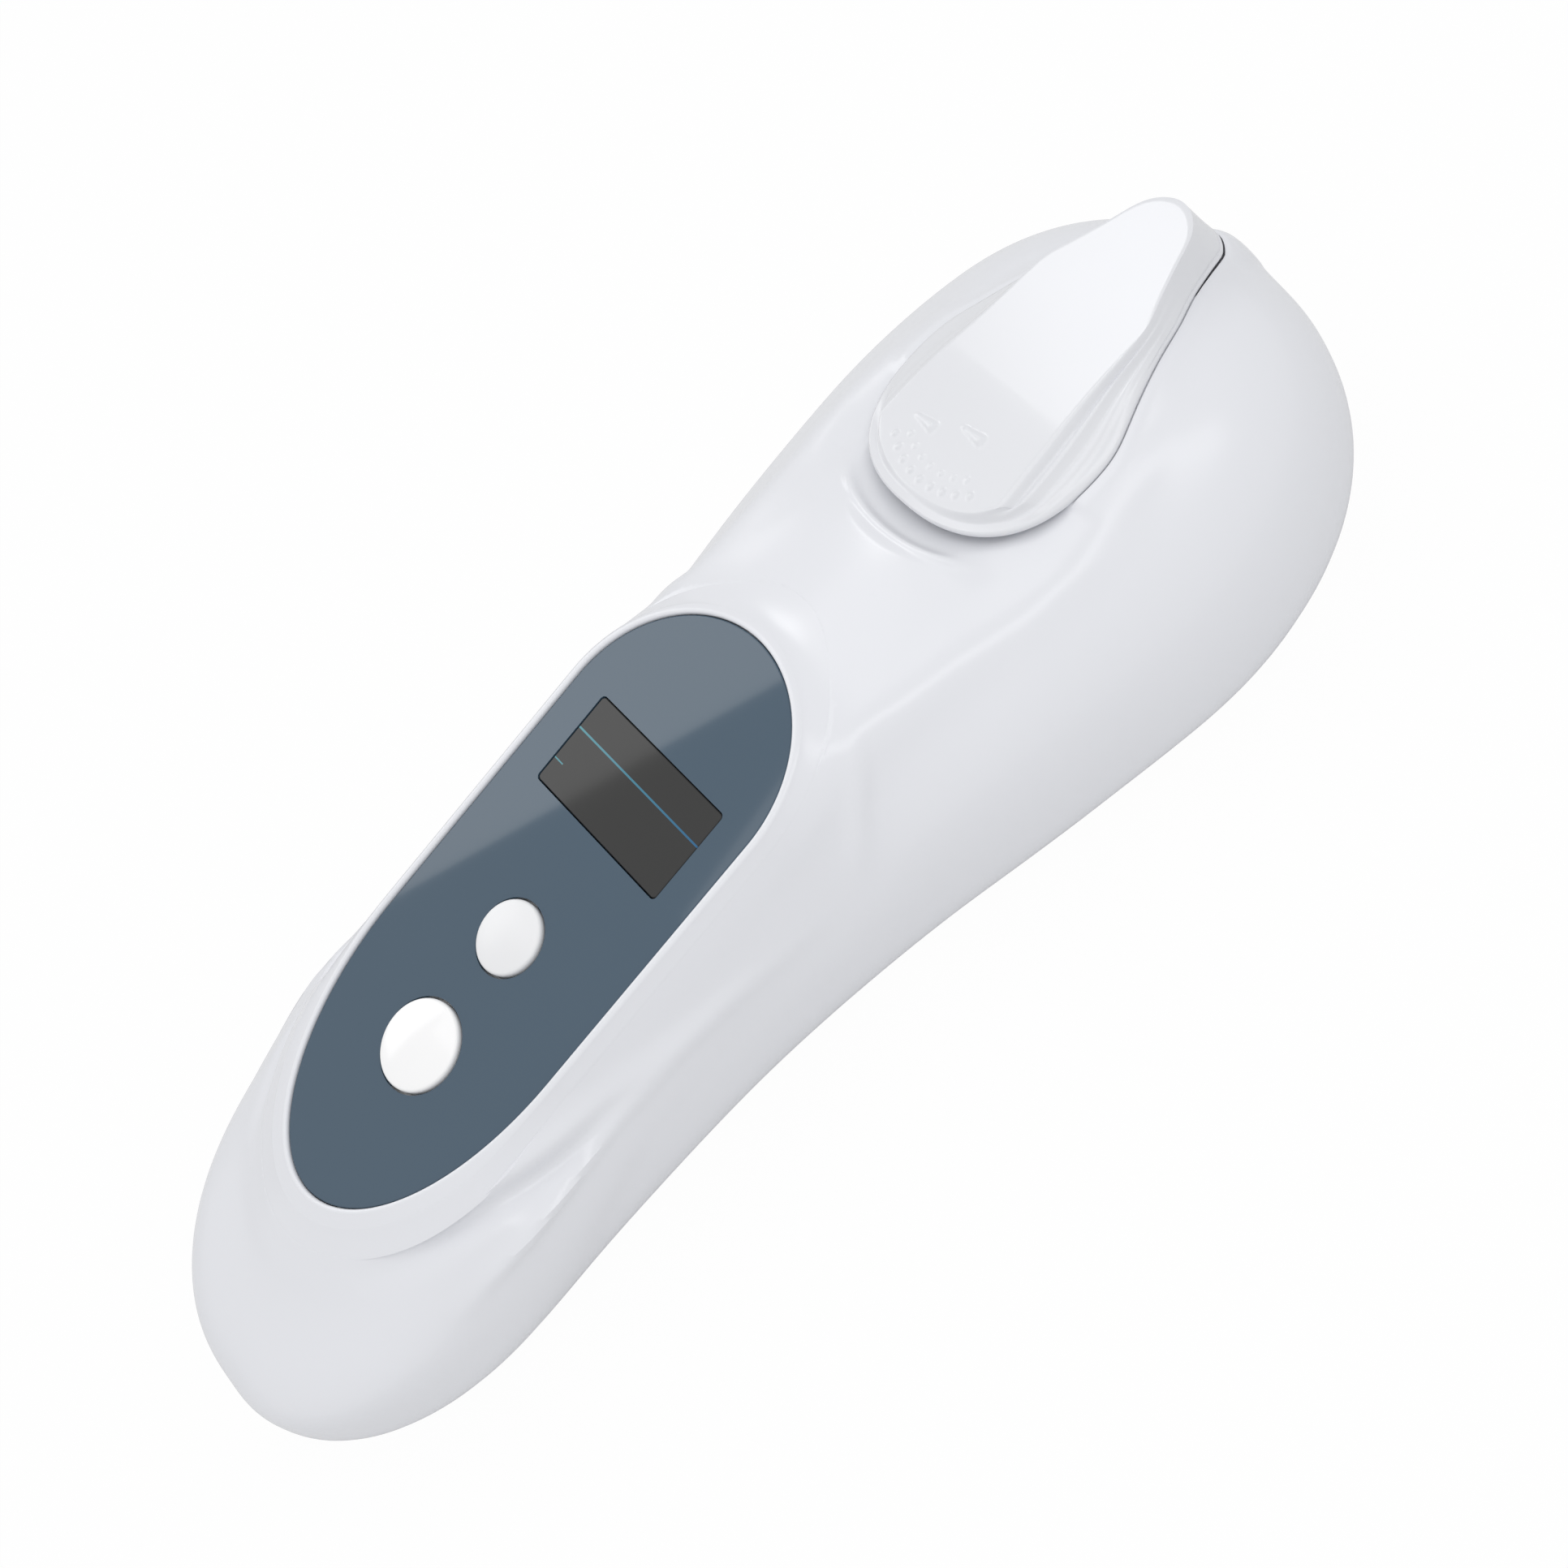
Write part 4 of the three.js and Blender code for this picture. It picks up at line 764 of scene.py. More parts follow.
# Display window. The real display is dark when it is off, under a clear window set flush in the
# panel; the edge of its glass shows as a thin teal line right across, with a short tick beyond it.
window_u, window_v = rounded_corners(6.5, 12.95, 0.6)
inner_u, inner_v = rounded_corners(6.4, 12.85, 0.5)
window = lofted("display_window", [
    from_panel(window_u, window_v, -1.2), from_panel(window_u, window_v, -0.16),
    from_panel(inner_u, inner_v, -0.06)])
display_glass = moulded("dark_display_glass", (0.037, 0.037, 0.0365), 0.05, mottle=0.03, grain=120,
                        depth=0.0000004, specular=0.27, patch=25)


def own_place(material):
    """The place on the piece, as a moulded material reads it."""
    return material.node_tree.nodes["Texture Coordinate"].outputs["Object"]


def painted(material, tint, factor):
    """Lays a tint over a moulded material's own colour, where and as much as the factor says."""
    tree = material.node_tree
    colour = surface_inputs(material)["Base Color"]
    mixed = added(tree, "Mix", {"A": colour.links[0].from_socket, "B": tint, "Factor": factor},
                  data_type="RGBA")
    feed(tree, colour, mixed.outputs["Result"])
    return material


def display_marks(material):
    """Paints the line and the tick in the panel's own frame: each is a band round one distance along
    the panel. The tick is cut off at both ends, and the paint drifts from blue to teal across."""
    tree = material.node_tree
    place = added(tree, "Mapping", {
        "Location": (display_x * 0.001, 0, display_z * 0.001), "Rotation": (0, -panel_tilt, 0),
        "Vector": own_place(material)}, vector_type="TEXTURE")
    parts = added(tree, "SeparateXYZ", {"Vector": place.outputs["Vector"]}).outputs

    def band(axis, middle, half):
        return added(tree, "Math", {0: parts[axis], 1: middle * 0.001, 2: half * 0.001},
                     operation="COMPARE").outputs[0]

    def both(first, second, operation="MULTIPLY"):
        return added(tree, "Math", {0: first, 1: second}, operation=operation).outputs[0]

    tick = both(band("X", -3.16, 0.09), band("Y", 12.1, 1.0))
    marks = both(band("X", 1.66, 0.13), tick, "MAXIMUM")
    drift = added(tree, "MapRange", {"From Min": -0.013, "From Max": 0.013, "Value": parts["Y"]})
    tint = added(tree, "Mix", {"A": (0.03, 0.13, 0.27, 1), "B": (0.09, 0.30, 0.35, 1),
                               "Factor": drift.outputs["Result"]}, data_type="RGBA")
    return painted(material, tint.outputs["Result"], marks)


finished(smoothed(window, 10), display_marks(display_glass), "housing", "display_dark", "lcd_window")

# Buttons. The real ones are two round domed caps of glossy white plastic that stand a little proud
# of the panel; each has a flange under the panel and a plunger over the rubber mat. Their one white
# is painted greyer on the small button as painted shade, and paler on the large one as painted light.
# Painted shade on the small button's white, painted light on the large button's white
small_button_shaded_white = moulded("satin_button_painted_shade", (0.83, 0.835, 0.85), 0.3, mottle=0.01, grain=500,
                      depth=0.000004)
large_button_lit_white = moulded("button_painted_light", (0.96, 0.96, 0.965), 0.12, mottle=0.004, grain=500,
                      depth=0.000004)
edge_z, edge_round, edge_rise, dome_rise = 0.12, 0.45, 0.5, 0.48
quarter_turns = np.pi / 2 * np.linspace(0, 1, 9)[:-1]
for name, button_u, radius, button_white in (("small_button", small_button_u, small_radius, small_button_shaded_white),
                                             ("large_button", large_button_u, large_radius, large_button_lit_white)):
    domed = radius - edge_round
    cap = [(2.0, -3.9), (2.0, -2.5), (radius + 1, -2.5), (radius + 1, -1.7), (radius, -1.7), (radius, edge_z)]
    cap += [(domed + edge_round * math.cos(t), edge_z + edge_rise * math.sin(t)) for t in quarter_turns]
    cap += [(domed * r, edge_z + edge_rise + dome_rise * (1 - r * r))
            for r in (0.94, 0.85, 0.72, 0.55, 0.35, 0.15)]
    button = on_panel_turned(name + "_cap", cap, button_u)
    finished(smoothed(button), button_white, name, "button_white", name)

# Lid. The real one is a white moulding: a thin flange with a bright rounded rim, a step up at the
# front and broad sloping flanks with faint ridges, and a flat top plate with raised grip marks. It is
# lofted from the rim's outline to the plate's, and turns on a pin at its narrow nose.
plate_z, rim_height = 40.3, 0.9
slot_half, slot_tail_run, slot_head_run = 2.9, 8.3, 3.3
lid_white = moulded("glossy_white_lid", (0.775, 0.785, 0.818), 0.2, mottle=0.006, grain=420,
                    depth=0.000005)
flank_side = np.minimum(np.abs(rim_outline[:, 1]) / lid_half_width, 1)
flank_back = np.clip((rim_outline[:, 0] - lid_front_x) / lid_round, 0, 1)
flank_share = np.maximum(flank_side * flank_back, flank_back ** 2)
flank_share = flank_share ** 2 * (3 - 2 * flank_share)
rim_heights = lid_edge(rim_outline[:, 0], rim_outline[:, 1])
ridge_room = np.clip(flank_share * 1.6 - 0.3, 0, 1) * np.clip((84 - rim_outline[:, 0]) / 12, 0, 1)
ridge_room = ridge_room * np.where(rim_outline[:, 1] > 0, 0.08, 1)


def plate_fall(x):
    """How far the plate lies below its level part: it falls gently toward the lid's front."""
    return 1.45 * np.clip((61 - x) / lid_round, 0, 1) ** 1.5


def flank_ring(share):
    """Ring between the rim and the plate: at the front a low flange and then a smooth step, at the
    flanks a slope dished between two faint ridges and broken by a chamfer below the plate."""
    step = np.clip((share - 0.5) / 0.42, 0, 1)
    front = 0.08 * min(share / 0.5, 1) + 0.92 * step * step * (3 - 2 * step)
    slope = share - 0.06 * math.sin(math.pi * share)
    ridges = sum(height * math.exp(-((share - middle) / width) ** 2) for height, middle, width in (
        (0.22, 0.92, 0.07), (-0.3, 0.78, 0.055), (0.26, 0.63, 0.06), (-0.2, 0.45, 0.07), (0.1, 0.3, 0.06)))
    rise = front + (slope - front) * flank_share
    place = rim_outline + (plate_outline - rim_outline) * share
    height = rim_heights + rim_height + (plate_z - plate_fall(place[:, 0]) - rim_heights - rim_height) * rise
    height = height + ridges * ridge_room
    return np.column_stack([place, height])


def plate_rise(x, y):
    """Grip marks on the top plate: two rows of small round pips on arcs behind its front edge, and
    two wedges that are high at one end and run out at the other."""
    rise = 0.0
    for radius, turns, size, height in ((13.0, np.linspace(-0.6, 0.62, 9), 0.5, 0.2),
                                        (11.0, np.linspace(-0.52, 0.54, 7), 0.4, 0.14)):
        for turn in turns:
            away = np.hypot(x - (lid_front_x + 16.3 - radius * math.cos(turn)), y - radius * math.sin(turn))
            rise = rise + 1.5 * height * np.clip(1 - (away / size) ** 2, 0, 1) ** 0.8
    for middle_x, middle_y, half in ((51.5, 5.2, 2.1), (53.8, -1.6, 2.3)):
        along = (y - middle_y) / half
        width = 0.95 * np.clip(0.62 - 0.38 * along, 0.05, 1)
        away = np.clip(1 - ((x - middle_x) / width) ** 2, 0, 1)
        rise = rise + 0.45 * away * np.clip((1 - np.abs(along)) * 3, 0, 1) * np.clip(0.7 - 0.3 * along, 0, 1)
    return rise - plate_fall(x)


lid_centre = np.array([dish_x - 9, 0.0])
under_centre = np.array([dish_x, 0.0])
under_rings = []
for share in (0.15, 0.3, 0.5, 0.7, 0.85, 0.95):
    drawn = under_centre + (grown(rim_outline, -0.25) - under_centre) * share
    under_rings.append(np.column_stack([drawn, lid_edge(drawn[:, 0], drawn[:, 1])]))
rim_rings = [np.column_stack([grown(rim_outline, grow), rim_heights + rise]) for grow, rise in (
    (-0.25, 0.0), (-0.06, 0.07), (0, 0.25), (0, 0.55), (-0.07, 0.76), (-0.22, 0.87))]
flank_rings = [flank_ring(share) for share in np.concatenate([
    np.linspace(0.1, 0.34, 5), np.linspace(0.37, 0.97, 25), [0.985]])]
plate_shares = 1 - np.concatenate([[0.01], np.linspace(0.03, 0.97, 58)])
plate_rings = []
for share in plate_shares:
    drawn = lid_centre + (plate_outline - lid_centre) * share
    plate_rings.append(np.column_stack([drawn, plate_z + plate_rise(drawn[:, 0], drawn[:, 1])]))
lid = lofted("lid_top", under_rings + rim_rings + flank_rings + plate_rings,
             (*under_centre, float(lid_edge(dish_x, 0))), (*lid_centre, plate_z))
inside = grown(plate_outline, -0.3)
hollow = lofted("cutter", [at_height(inside, z) for z in (20.0, lid_top - 1.8)])
hollow = carved(hollow, "INTERSECT", block(
    lid_front_x + 0.32 * lid_length, lid_front_x + 0.8 * lid_length, -20, 20, 0, above))
lid = cut(lid, block(hinge_x - slot_tail_run, hinge_x + slot_head_run, -slot_half, slot_half, 0,
                     hinge_z + slot_half), hollow, rod(pin_hole_radius, pin_hole_half))
finished(smoothed(lid, 40), lid_white, "lid", "lid_white", "lid_cover")

# Battery door. The real one is a flat white cover in the underside, let in flush, that unclips and
# lifts off the two cells. It has a rounded edge and, near one end, an oval thumb rest with ribs.
door_middle_x = (door_low[0] + door_high[0]) / 2
door_half_x, door_half_y = (door_high[0] - door_low[0]) / 2, door_high[1]
door_thick = door_high[2]


def door_ring(inset, height, radius=2.0, count=320):
    """Rounded rectangle of the door, drawn in by an inset, at one height, as even points."""
    ring_x, ring_y = (np.append(side, side[0]) for side in
                      rounded_corners(door_half_x - inset, door_half_y - inset, radius, 24))
    run = np.append(0, np.cumsum(np.hypot(np.diff(ring_x), np.diff(ring_y))))
    places = run[-1] * np.arange(count) / count
    return at_height(np.column_stack([door_middle_x + np.interp(places, run, ring_x),
                                      np.interp(places, run, ring_y)]), height)


rest_middle_x, rest_half_x, rest_half_y = door_high[0] - 8.5, 5.2, 7.0
rest_depth, rib_pitch = 0.45, 1.5


def thumb_rest(x, y):
    """Depth of the thumb rest: a shallow oval dish with seven ribs across it, as a cosine."""
    out = ((x - rest_middle_x) / rest_half_x) ** 2 + (y / rest_half_y) ** 2
    inside = np.clip(1 - out, 0, 1)
    ribs = np.cos(2 * np.pi * (x - door_high[0]) / rib_pitch)
    return rest_depth * np.minimum(inside * 3, 1) * (0.6 + 0.4 * ribs)


door_outline = door_ring(0.35, 0.0)
door_centre = np.array([rest_middle_x, 0.0])
door_rings = []
for share in np.linspace(0.01, 0.99, 110):
    drawn = door_centre + (door_outline[:, :2] - door_centre) * share
    door_rings.append(np.column_stack([drawn, thumb_rest(drawn[:, 0], drawn[:, 1])]))
door_rings += [door_ring(inset, height) for inset, height in (
    (0.35, 0.0), (0.1, 0.1), (0.0, 0.35), (0.0, door_thick - 0.2), (0.2, door_thick))]
door = lofted("battery_cover", door_rings, (*door_centre, float(thumb_rest(*door_centre))))
finished(smoothed(door, 30), white_abs, "battery_door", "white_shell", "battery_door")


# Shell gasket. The real one is a thin cord of grey silicone pressed between the two shells, which
# shows only as a fine line in the seam.
def dressed(material, *nodes):
    """Gives CAD pieces that keep their own shape their material."""
    for node in nodes:
        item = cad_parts[node]
        item.data.materials.clear()
        item.data.materials.append(material)


grey_rubber = moulded("grey_silicone_rubber", (0.23, 0.24, 0.25), 0.6, mottle=0.05, grain=1500, depth=0.00002)
dressed(grey_rubber, "shell_gasket")


# Screws. The real ones are small steel pan heads with a cross recess and a coarse thread for
# plastic: four hold the shells together from below, four the main board and two the optics block.
def polished(name, colour, roughness, stretch=(1, 1, 1), scale=300, depth=0.000003):
    """Metal with a fine drawn or brushed finish: its grain is stretched the way it was worked."""
    material = moulded(name, colour, roughness, mottle=0.03, grain=scale, depth=depth, stretch=stretch)
    surface_inputs(material)["Metallic"].default_value = 1.0
    return material


bright_steel = polished("bright_zinc_steel", (0.56, 0.57, 0.58), 0.28)


def cross_screw(name, head, head_height, length, place, shaft=1.1, pitch=0.8, cross_half=0.28):
    """Screw that points up from its drive face: a rounded head, a shaft whose radius swings between
    root and crest once a turn of thread, and a cross cut into the face; place maps its points."""
    turns = np.arange(head_height + 0.5, length - 0.7, pitch / 4)
    thread = [(shaft * (0.86, 0.95, 1.0, 0.95)[i % 4], z) for i, z in enumerate(turns)]
    profile = [(head * 0.55, 0.0), (head * 0.84, 0.1), (head * 0.97, 0.35), (head, 0.6), (head, head_height),
               (shaft * 0.9, head_height)] + thread + [(shaft * 0.5, length)]
    screw = turned(name, profile, (0, 0, 0), around=40)
    for half_x, half_y in ((head * 0.55, cross_half), (cross_half, head * 0.55)):
        screw = cut(screw, block(-half_x, half_x, -half_y, half_y, -1.0, 0.75))
    points = np.empty(len(screw.data.vertices) * 3)
    screw.data.vertices.foreach_get("co", points)
    x, y, z = points.reshape(-1, 3).T * 1000
    screw.data.vertices.foreach_set("co", (place(x, y, z) * 0.001).ravel())
    return smoothed(screw, 40)


for number, (place_x, place_y) in enumerate(screw_places, 1):
    screw = cross_screw(f"shell_screw_steel_{number}", 2.3, 1.5, 11,
                        lambda x, y, z: np.stack([x + place_x, y + place_y, z + 1.2], -1))
    finished(screw, bright_steel, "housing", "steel", f"shell_screw_{number}")

# Cells. The real ones are two AAA cells side by side: a steel can in a plain printed sleeve, with
# a bare shoulder, a raised button at the head end and a dark band at the other.
cell_sleeve = moulded("cell_sleeve", (0.05, 0.06, 0.075), 0.3, mottle=0.05, grain=300, depth=0.000004)
cell_place = added(cell_sleeve.node_tree, "SeparateXYZ", {"Vector": own_place(cell_sleeve)})
band_end = -0.0225
cell_band = added(cell_sleeve.node_tree, "Math", {0: cell_place.outputs["X"], 1: band_end},
                  operation="GREATER_THAN")
painted(cell_sleeve, (0.55, 0.36, 0.16, 1), cell_band.outputs[0])
for number in (1, 2):
    low, high = millimetres(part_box(f"battery_{number}"))
    middle_y, middle_z = (low[1] + high[1]) / 2, (low[2] + high[2]) / 2
    cell_profile = [(radius, low[0] + run) for radius, run in (
        (3.9, 0), (4.6, 0.1), (4.95, 0.35), (5.22, 0.5))]
    cell_profile += [(radius, high[0] - run) for radius, run in (
        (5.22, 1.9), (5.05, 1.4), (4.6, 1.1), (2.4, 1.0), (1.9, 0.9), (1.9, 0.2), (1.6, 0))]
    cell = turned(f"cell_{number}", cell_profile, (0, middle_y, middle_z), "x", around=72)
    finished(smoothed(cell, 40), cell_sleeve, "housing", "cell_can", f"battery_{number}")

# Springs and contact plates. The real springs are cones of steel wire that press the cells against
# bent brass plates at the head end; a longer plate links the springs behind them.
contact_brass = polished("contact_brass_plate", (0.72, 0.52, 0.22), 0.3, stretch=(1, 1, 12))
wire, coil_radius, coil_taper, coil_turns = 0.3, 2.85, 1.3, 4.5
for number in (1, 2):
    low, high = millimetres(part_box(f"battery_spring_{number}"))
    turn = np.linspace(0, 2 * np.pi * coil_turns, 163)[:, None]
    round_wire = (2 * np.pi * np.arange(10) / 10)[None]
    coil = coil_radius - coil_taper * turn / turn[-1] + wire * np.cos(round_wire)
    run = low[0] + wire + (high[0] - low[0] - 2 * wire) * turn / turn[-1] + wire * np.sin(round_wire)
    spring = lofted(f"spring_{number}", np.stack(np.broadcast_arrays(
        run, (low[1] + high[1]) / 2 + coil * np.cos(turn), (low[2] + high[2]) / 2 + coil * np.sin(turn)), -1))
    finished(smoothed(spring, 60), bright_steel, "housing", "steel", f"battery_spring_{number}")
dressed(contact_brass, "battery_contact_1", "battery_contact_2", "battery_link_plate")

# Display glass, its holder and contact strip. The real glass sits in a black moulded frame under
# the window, and a strip of layered rubber under one edge carries its signals to the board.
black_plastic = moulded("black_moulded_plastic", (0.016, 0.016, 0.017), 0.42, mottle=0.1)
holder_glass = moulded("display_cell_glass", (0.03, 0.033, 0.032), 0.06, mottle=0.04, grain=150,
                       depth=0.0000004)
dressed(black_plastic, "lcd_holder")
dressed(holder_glass, "lcd_glass")
dressed(grey_rubber, "lcd_contact_strip")

# Keypad mat and dome switches. The real mat is one sheet of silicone over two snap domes of thin
# steel, which click under the buttons' plungers.
dressed(grey_rubber, "keypad_mat")
dressed(bright_steel, "small_dome_switch", "large_dome_switch")

# Main board and its screws. The real board is green fibreglass under the panel, cut to the panel's
# outline and screwed to tabs on the upper shell. Its copper shows as faint paler lines under the
# lacquer, drawn as the joints of a brick pattern.
board_lacquer = moulded("green_board_lacquer", (0.02, 0.13, 0.055), 0.38, mottle=0.08, grain=1200,
                        depth=0.000005)
board_colour = surface_inputs(board_lacquer)["Base Color"]
copper_lines = added(board_lacquer.node_tree, "TexBrick", {
    "Scale": 160, "Mortar Size": 0.06, "Color1": board_colour.links[0].from_socket,
    "Color2": (0.016, 0.1, 0.045, 1), "Mortar": (0.05, 0.24, 0.1, 1), "Vector": own_place(board_lacquer)})
feed(board_lacquer.node_tree, board_colour, copper_lines.outputs["Color"])
dressed(board_lacquer, "main_board")
for number in (1, 2, 3, 4):
    low, high = millimetres(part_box(f"board_screw_{number}"))
    head_u, _, head_w = to_panel(*((low + high) / 2))
    middle_v = (low[1] + high[1]) / 2
    screw = cross_screw(f"board_screw_steel_{number}", 2.0, 1.2, 5.4,
                        lambda x, y, z: from_panel(head_u + x, middle_v - y, head_w + 2.7 - z))
    finished(screw, bright_steel, "housing", "steel", f"board_screw_{number}")

# Lid pad. The real one is a soft grey silicone pad pressed into the lid's hollow, which covers the
# dish when the lid is shut. It is the hollow's outline drawn in, with a soft lower edge.
pad_low, pad_high = millimetres(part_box("lid_pad"))
pad_rings = [at_height(grown(plate_outline, -inset), height) for inset, height in (
    (0.95, pad_low[2]), (0.72, pad_low[2] + 0.1), (0.6, pad_low[2] + 0.35), (0.6, pad_high[2]))]
pad = carved(lofted("lid_pad_rubber", pad_rings), "INTERSECT",
             block(pad_low[0], pad_high[0], -20, 20, 0, above))
pad_rubber = moulded("pad_silicone_rubber", (0.3, 0.31, 0.32), 0.55, mottle=0.04, grain=1300, depth=0.00002)
finished(smoothed(pad), pad_rubber, "lid", "rubber_grey", "lid_pad")

# Hinge pin. The real one is a plain steel rod with chamfered ends, pushed through the arm of the
# upper shell with its ends in the lid.
pin_half = millimetres(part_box("hinge_pin"))[1, 1]
pin_profile = [(0.75, -pin_half), (1.0, 0.3 - pin_half), (1.0, pin_half - 0.3), (0.75, pin_half)]
pin = turned("hinge_rod", pin_profile, (hinge_x, 0, hinge_z), "y", around=48)
finished(smoothed(pin), bright_steel, "housing", "steel", "hinge_pin")

# Sample dish. The real one is a polished stainless dish, spun to a shallow cone with a rolled rim,
# open at the bottom over the prism. It is a profile turned about the dish's centre.
dish_bottom = dish_top - 4.7
dish_steel = polished("polished_dish_steel", (0.62, 0.63, 0.64), 0.14, stretch=(1, 1, 14), scale=240,
                      depth=0.000002)
dish_profile = [(3.2, dish_bottom), (4.0, dish_bottom), (4.3, dish_bottom + 0.3), (7.6, dish_top - 1.15),
                (7.8, dish_top - 0.9), (9.7, dish_top - 0.9), (9.8, dish_top - 0.75), (9.8, dish_top - 0.2),
                (9.68, dish_top - 0.05), (9.4, dish_top), (8.85, dish_top), (8.6, dish_top - 0.08),
                (8.35, dish_top - 0.35), (6.9, dish_top - 1.75), (4.6, dish_bottom + 1.35),
                (3.5, dish_bottom + 0.8), (3.2, dish_bottom + 0.62)]


def dish_hoop(name, profile, around=144):
    """Profile of (radius, height) pairs that closes on itself, turned about the dish's centre."""
    turn = 2 * np.pi * np.arange(around) / around
    return lofted(name, [at_height(np.column_stack([dish_x + r * np.cos(turn), r * np.sin(turn)]), z)
                         for r, z in profile], hoop=True)


dish = dish_hoop("spun_dish", dish_profile)
finished(smoothed(dish, 40), dish_steel, "housing", "dish_steel", "sample_dish")

# Prism and its seal. The real prism is clear polished glass whose top face carries the drops of
# liquid at the bottom of the dish, with a black rubber ring between the two.
seal_low, seal_high = millimetres(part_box("prism_seal"))[:, 2]
seal_profile = [(3.2, seal_low + 0.1), (3.3, seal_low), (3.9, seal_low), (4.0, seal_low + 0.1),
                (4.0, seal_high - 0.1), (3.9, seal_high), (3.3, seal_high), (3.2, seal_high - 0.1)]
seal = dish_hoop("prism_ring_seal", seal_profile)
finished(smoothed(seal, 40), grey_rubber, "housing", "rubber_grey", "prism_seal")
clear_glass = moulded("clear_optical_glass", (0.9, 0.94, 0.95), 0.02, mottle=0.01, grain=100, depth=0.0000003)
surface_inputs(clear_glass)["Transmission Weight"].default_value = 1.0
surface_inputs(clear_glass)["IOR"].default_value = 1.52
dressed(clear_glass, "prism")

# Optics block with its screws, lamp, lens, boards and sensors. The real block is a black moulding
# under the dish with a light channel: an amber lamp at one end, a lens and a line sensor at the other.
dressed(black_plastic, "optics_block", "line_sensor", "temperature_sensor")
dressed(board_lacquer, "lamp_board", "sensor_board")
for number in (1, 2):
    low, high = millimetres(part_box(f"optics_screw_{number}"))
    middle_y = (low[1] + high[1]) / 2
    screw = cross_screw(f"optics_screw_steel_{number}", 2.0, 1.2, high[2] - low[2],
                        lambda x, y, z: np.stack([x + dish_x, y + middle_y, z + low[2]], -1))
    finished(screw, bright_steel, "housing", "steel", f"optics_screw_{number}")
lamp_low, lamp_high = millimetres(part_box("lamp"))
lamp_z = (lamp_low[2] + lamp_high[2]) / 2
lamp_flange, lamp_radius = 2.5, 2.2
lamp_profile = [(lamp_flange, lamp_low[0]), (lamp_flange, lamp_low[0] + 0.6),
                (lamp_radius, lamp_low[0] + 0.65), (lamp_radius, lamp_high[0] - lamp_radius)]
lamp_profile += [(lamp_radius * math.cos(t), lamp_high[0] - lamp_radius + lamp_radius * math.sin(t))
                 for t in quarter_turns[1:]]
lamp_resin = moulded("amber_lamp_resin", (0.85, 0.45, 0.08), 0.08, mottle=0.02, grain=200, depth=0.0000005)
surface_inputs(lamp_resin)["Transmission Weight"].default_value = 0.7
lamp_piece = turned("lamp_bulb", lamp_profile, (0, 0, lamp_z), "x", around=64)
finished(smoothed(lamp_piece, 40), lamp_resin, "housing", "lamp_amber", "lamp")
lens_low, lens_high = millimetres(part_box("lens"))
lens_radius = (lens_high[2] - lens_low[2]) / 2
lens_bulge = 0.55
lens_shares = np.array([0.12, 0.3, 0.5, 0.68, 0.84, 0.95, 1.0])
lens_profile = [(lens_radius * r, lens_low[0] + lens_bulge * r * r) for r in lens_shares]
lens_profile += [(lens_radius * r, lens_high[0] - lens_bulge * r * r) for r in lens_shares[::-1]]
lens_piece = turned("ground_lens", lens_profile, (0, 0, (lens_low[2] + lens_high[2]) / 2), "x", around=64)
finished(smoothed(lens_piece, 40), clear_glass, "housing", "optical_glass", "lens")

# Ribbon cable. The real one is a flat amber film with printed copper tracks, fixed between the
# main board and the optics. Its tracks are bands across its width.
ribbon_film = moulded("amber_ribbon_film", (0.5, 0.2, 0.035), 0.35, mottle=0.03, grain=600, depth=0.000003)
ribbon_tracks = added(ribbon_film.node_tree, "TexWave", {"Scale": 260, "Vector": own_place(ribbon_film)},
                      bands_direction="Y")
painted(ribbon_film, (0.75, 0.38, 0.14, 1), ribbon_tracks.outputs["Fac"])
dressed(ribbon_film, "ribbon_cable")

# Studio. The photograph has a pure white surround and soft light from above and from the far left,
# where a large softbox shows in the panel as a paler zone with a straight edge. The world is a little
# darker to rays that light matt surfaces, and the floor is nearly pure white to the camera.
world_light, floor_glow = 0.76, 0.97
world = bpy.data.worlds.new("studio")
bpy.context.scene.world = world
world.use_nodes = True
tree = world.node_tree
ray = added(tree, "LightPath", {}).outputs
mirrored = added(tree, "Math", {0: ray["Is Glossy Ray"], 1: ray["Is Transmission Ray"]}, operation="MAXIMUM")
seen = added(tree, "Math", {0: ray["Is Camera Ray"], 1: mirrored.outputs[0]}, operation="MAXIMUM")
level = added(tree, "MapRange", {"To Min": world_light, "To Max": 1.0, "Value": seen.outputs[0]})
sky = tree.nodes["Background"].inputs
sky["Color"].default_value = (1, 1, 1, 1)
feed(tree, sky["Strength"], level.outputs["Result"])

floor_half, floor_z = 2000, -0.4
floor = lay_mesh("floor", at_height(floor_half * np.array([[-1, -1], [1, -1], [1, 1], [-1, 1]]), floor_z),
                 [(0, 1, 2, 3)])
paper = bpy.data.materials.new("white_paper")
paper.use_nodes = True
tree = paper.node_tree
matt = tree.nodes["Principled BSDF"]
matt.inputs["Base Color"].default_value = (0.8, 0.8, 0.8, 1)
matt.inputs["Roughness"].default_value = 0.9
glow = added(tree, "Emission", {"Color": (1, 1, 1, 1), "Strength": 1.0})
ray = added(tree, "LightPath", {}).outputs
share = added(tree, "Math", {0: ray["Is Camera Ray"], 1: floor_glow}, operation="MULTIPLY")
mix = added(tree, "MixShader", {0: share.outputs[0], 1: matt.outputs[0], 2: glow.outputs[0]})
feed(tree, tree.nodes["Material Output"].inputs["Surface"], mix.outputs[0])
floor.data.materials.append(paper)


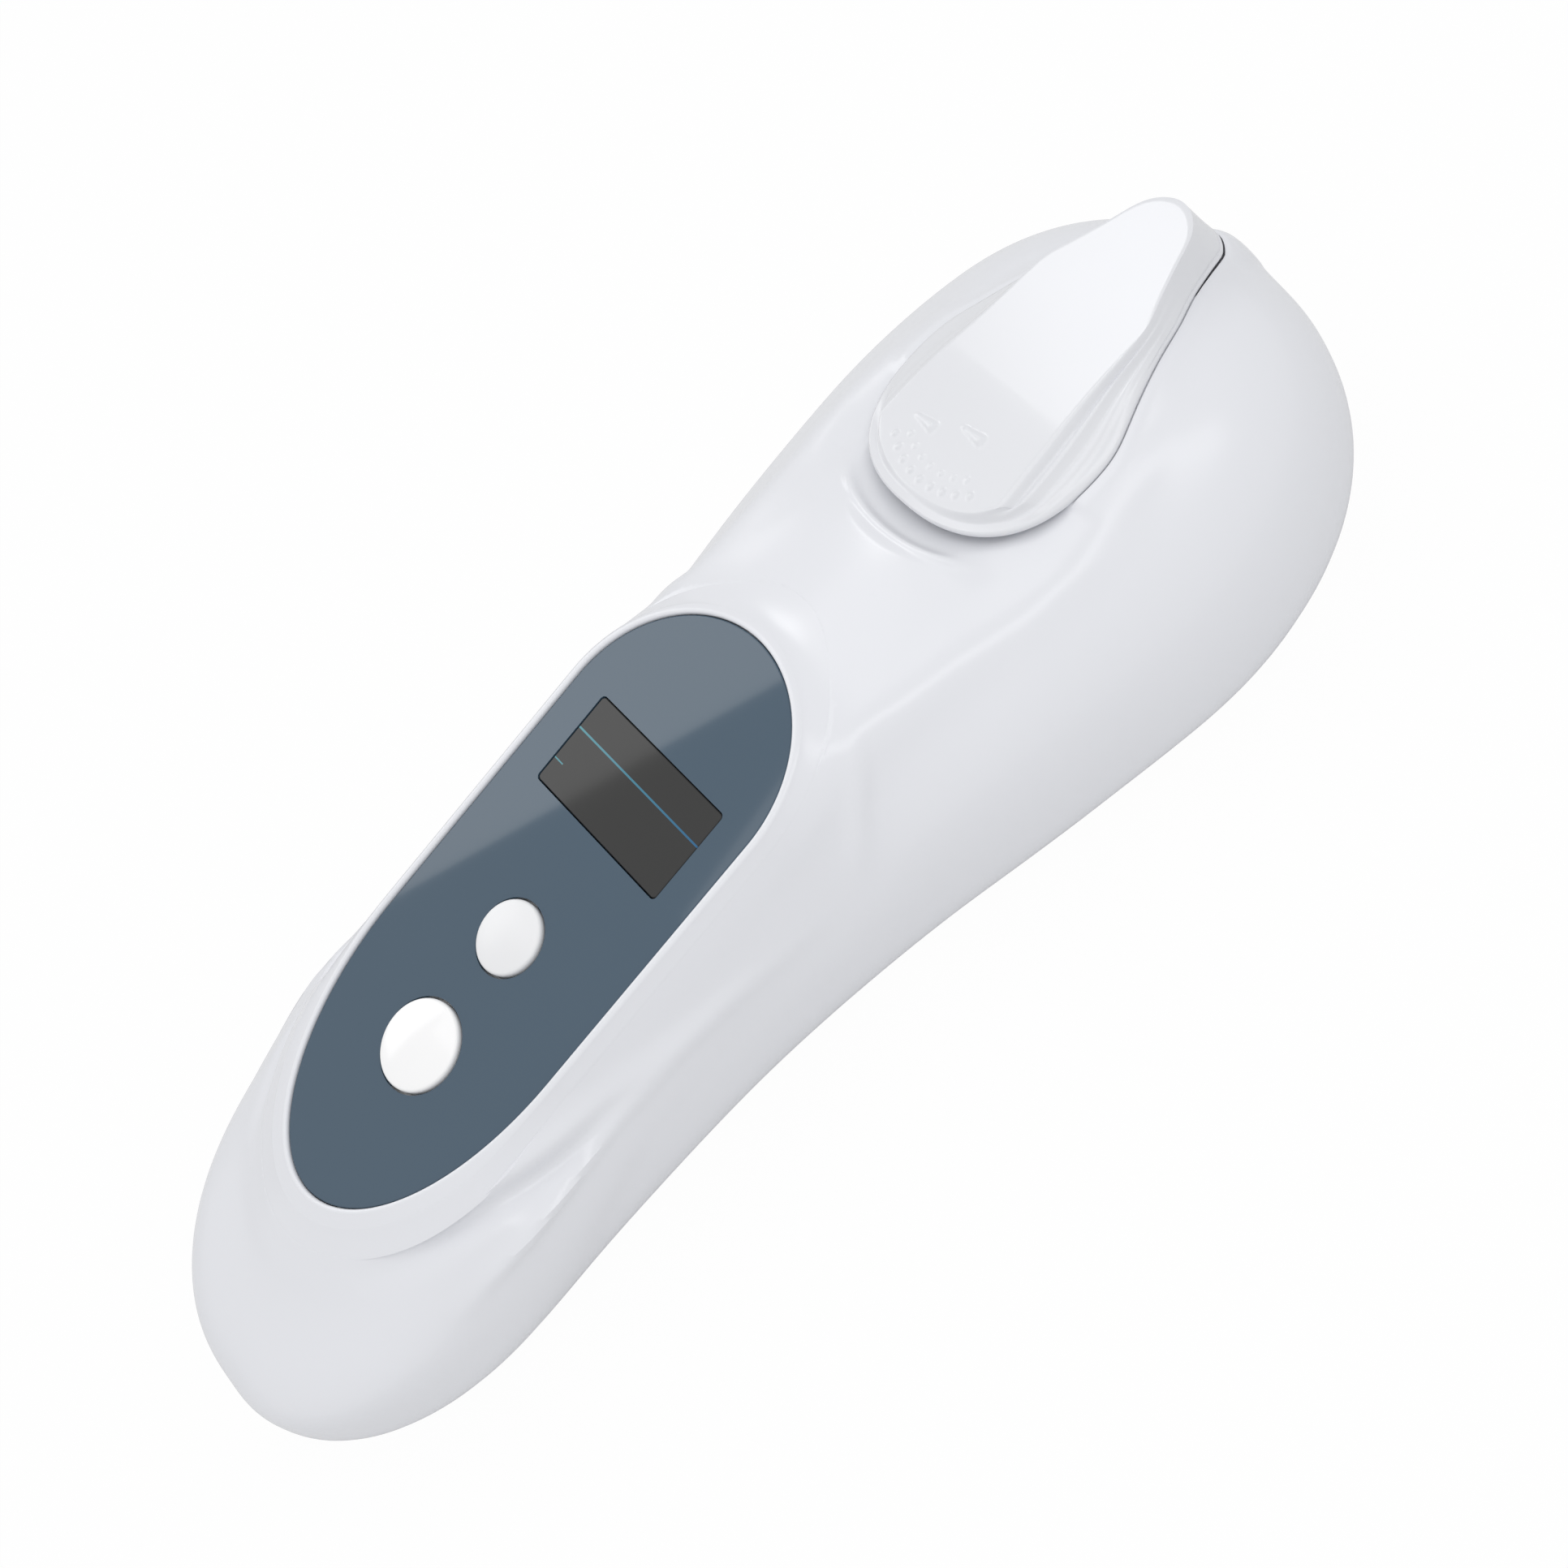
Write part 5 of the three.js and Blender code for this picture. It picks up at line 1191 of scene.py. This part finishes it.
def softbox(name, centre, width, height, power, along, toward):
    """Rectangular lamp in millimetres: its width runs along one direction and it shines down another."""
    lamp = bpy.data.lights.new(name, "AREA")
    lamp.shape = "RECTANGLE"
    lamp.size, lamp.size_y = width * 0.001, height * 0.001
    lamp.energy = power
    item = bpy.data.objects.new(name, lamp)
    back = -np.asarray(toward, float) / np.linalg.norm(toward)
    along = np.asarray(along, float)
    along = along - back * (along @ back)
    along = along / np.linalg.norm(along)
    up = np.cross(back, along)
    turn = np.eye(4)
    turn[:3, 0], turn[:3, 1], turn[:3, 2], turn[:3, 3] = along, up, back, np.asarray(centre) * 0.001
    item.matrix_world = Matrix(turn.tolist())
    bpy.context.scene.collection.objects.link(item)
    return item


# Two softboxes are there to be mirrored, and light no matt surface. They lie in one plane, square to
# the direction in which the panel mirrors the camera. The straight edge that the panel shows runs
# through edge_middle along edge_run, and edge_side points from it into the softbox.
mirror = np.array([-0.2311, 0.622, 0.7481])
edge_run = np.array([0.8766, -0.2017, 0.4374])
edge_side = np.array([0.427, 0.738, -0.524])
edge_middle = np.array([-127.0, 315.0, 405.5])
for name, run, side, width, height, power in (("panel_softbox", -60, 200, 290, 400, 0.62),
                                              ("lid_softbox", 310, 125, 110, 150, 0.22)):
    place = edge_middle + run * edge_run + side * edge_side
    softbox(name, place, width, height, power, edge_run, -mirror).visible_diffuse = False
softbox("shoulder_softbox", (90, -250, 480), 600, 110, 0.42, (1, 0, 0), (-0.1, 0.45, -0.89))
softbox("top_softbox", (20, 180, 620), 420, 420, 0.5, (1, 0, 0), (0, -0.28, -0.96))

# Camera, fitted to the outlines of the panel, the display window and the lid in the photograph. Its
# place is in metres, after the directions to its right, its top and its back.
camera = bpy.data.cameras.new("camera")
camera.lens = 70.10595
camera.sensor_width = 36
camera.clip_start = 0.01
camera.clip_end = 20
viewer = bpy.data.objects.new("camera", camera)
stand = np.eye(4)
stand[:3, 0] = (0.698627, -0.576744, -0.423422)
stand[:3, 1] = (0.715485, 0.564114, 0.412137)
stand[:3, 2] = (0.00116, -0.590882, 0.806757)
stand[:3, 3] = (0.0086265, -0.2276531, 0.3264249)
viewer.matrix_world = Matrix(stand.tolist())
bpy.context.scene.collection.objects.link(viewer)
bpy.context.scene.camera = viewer
bpy.context.scene.view_settings.view_transform = "Standard"
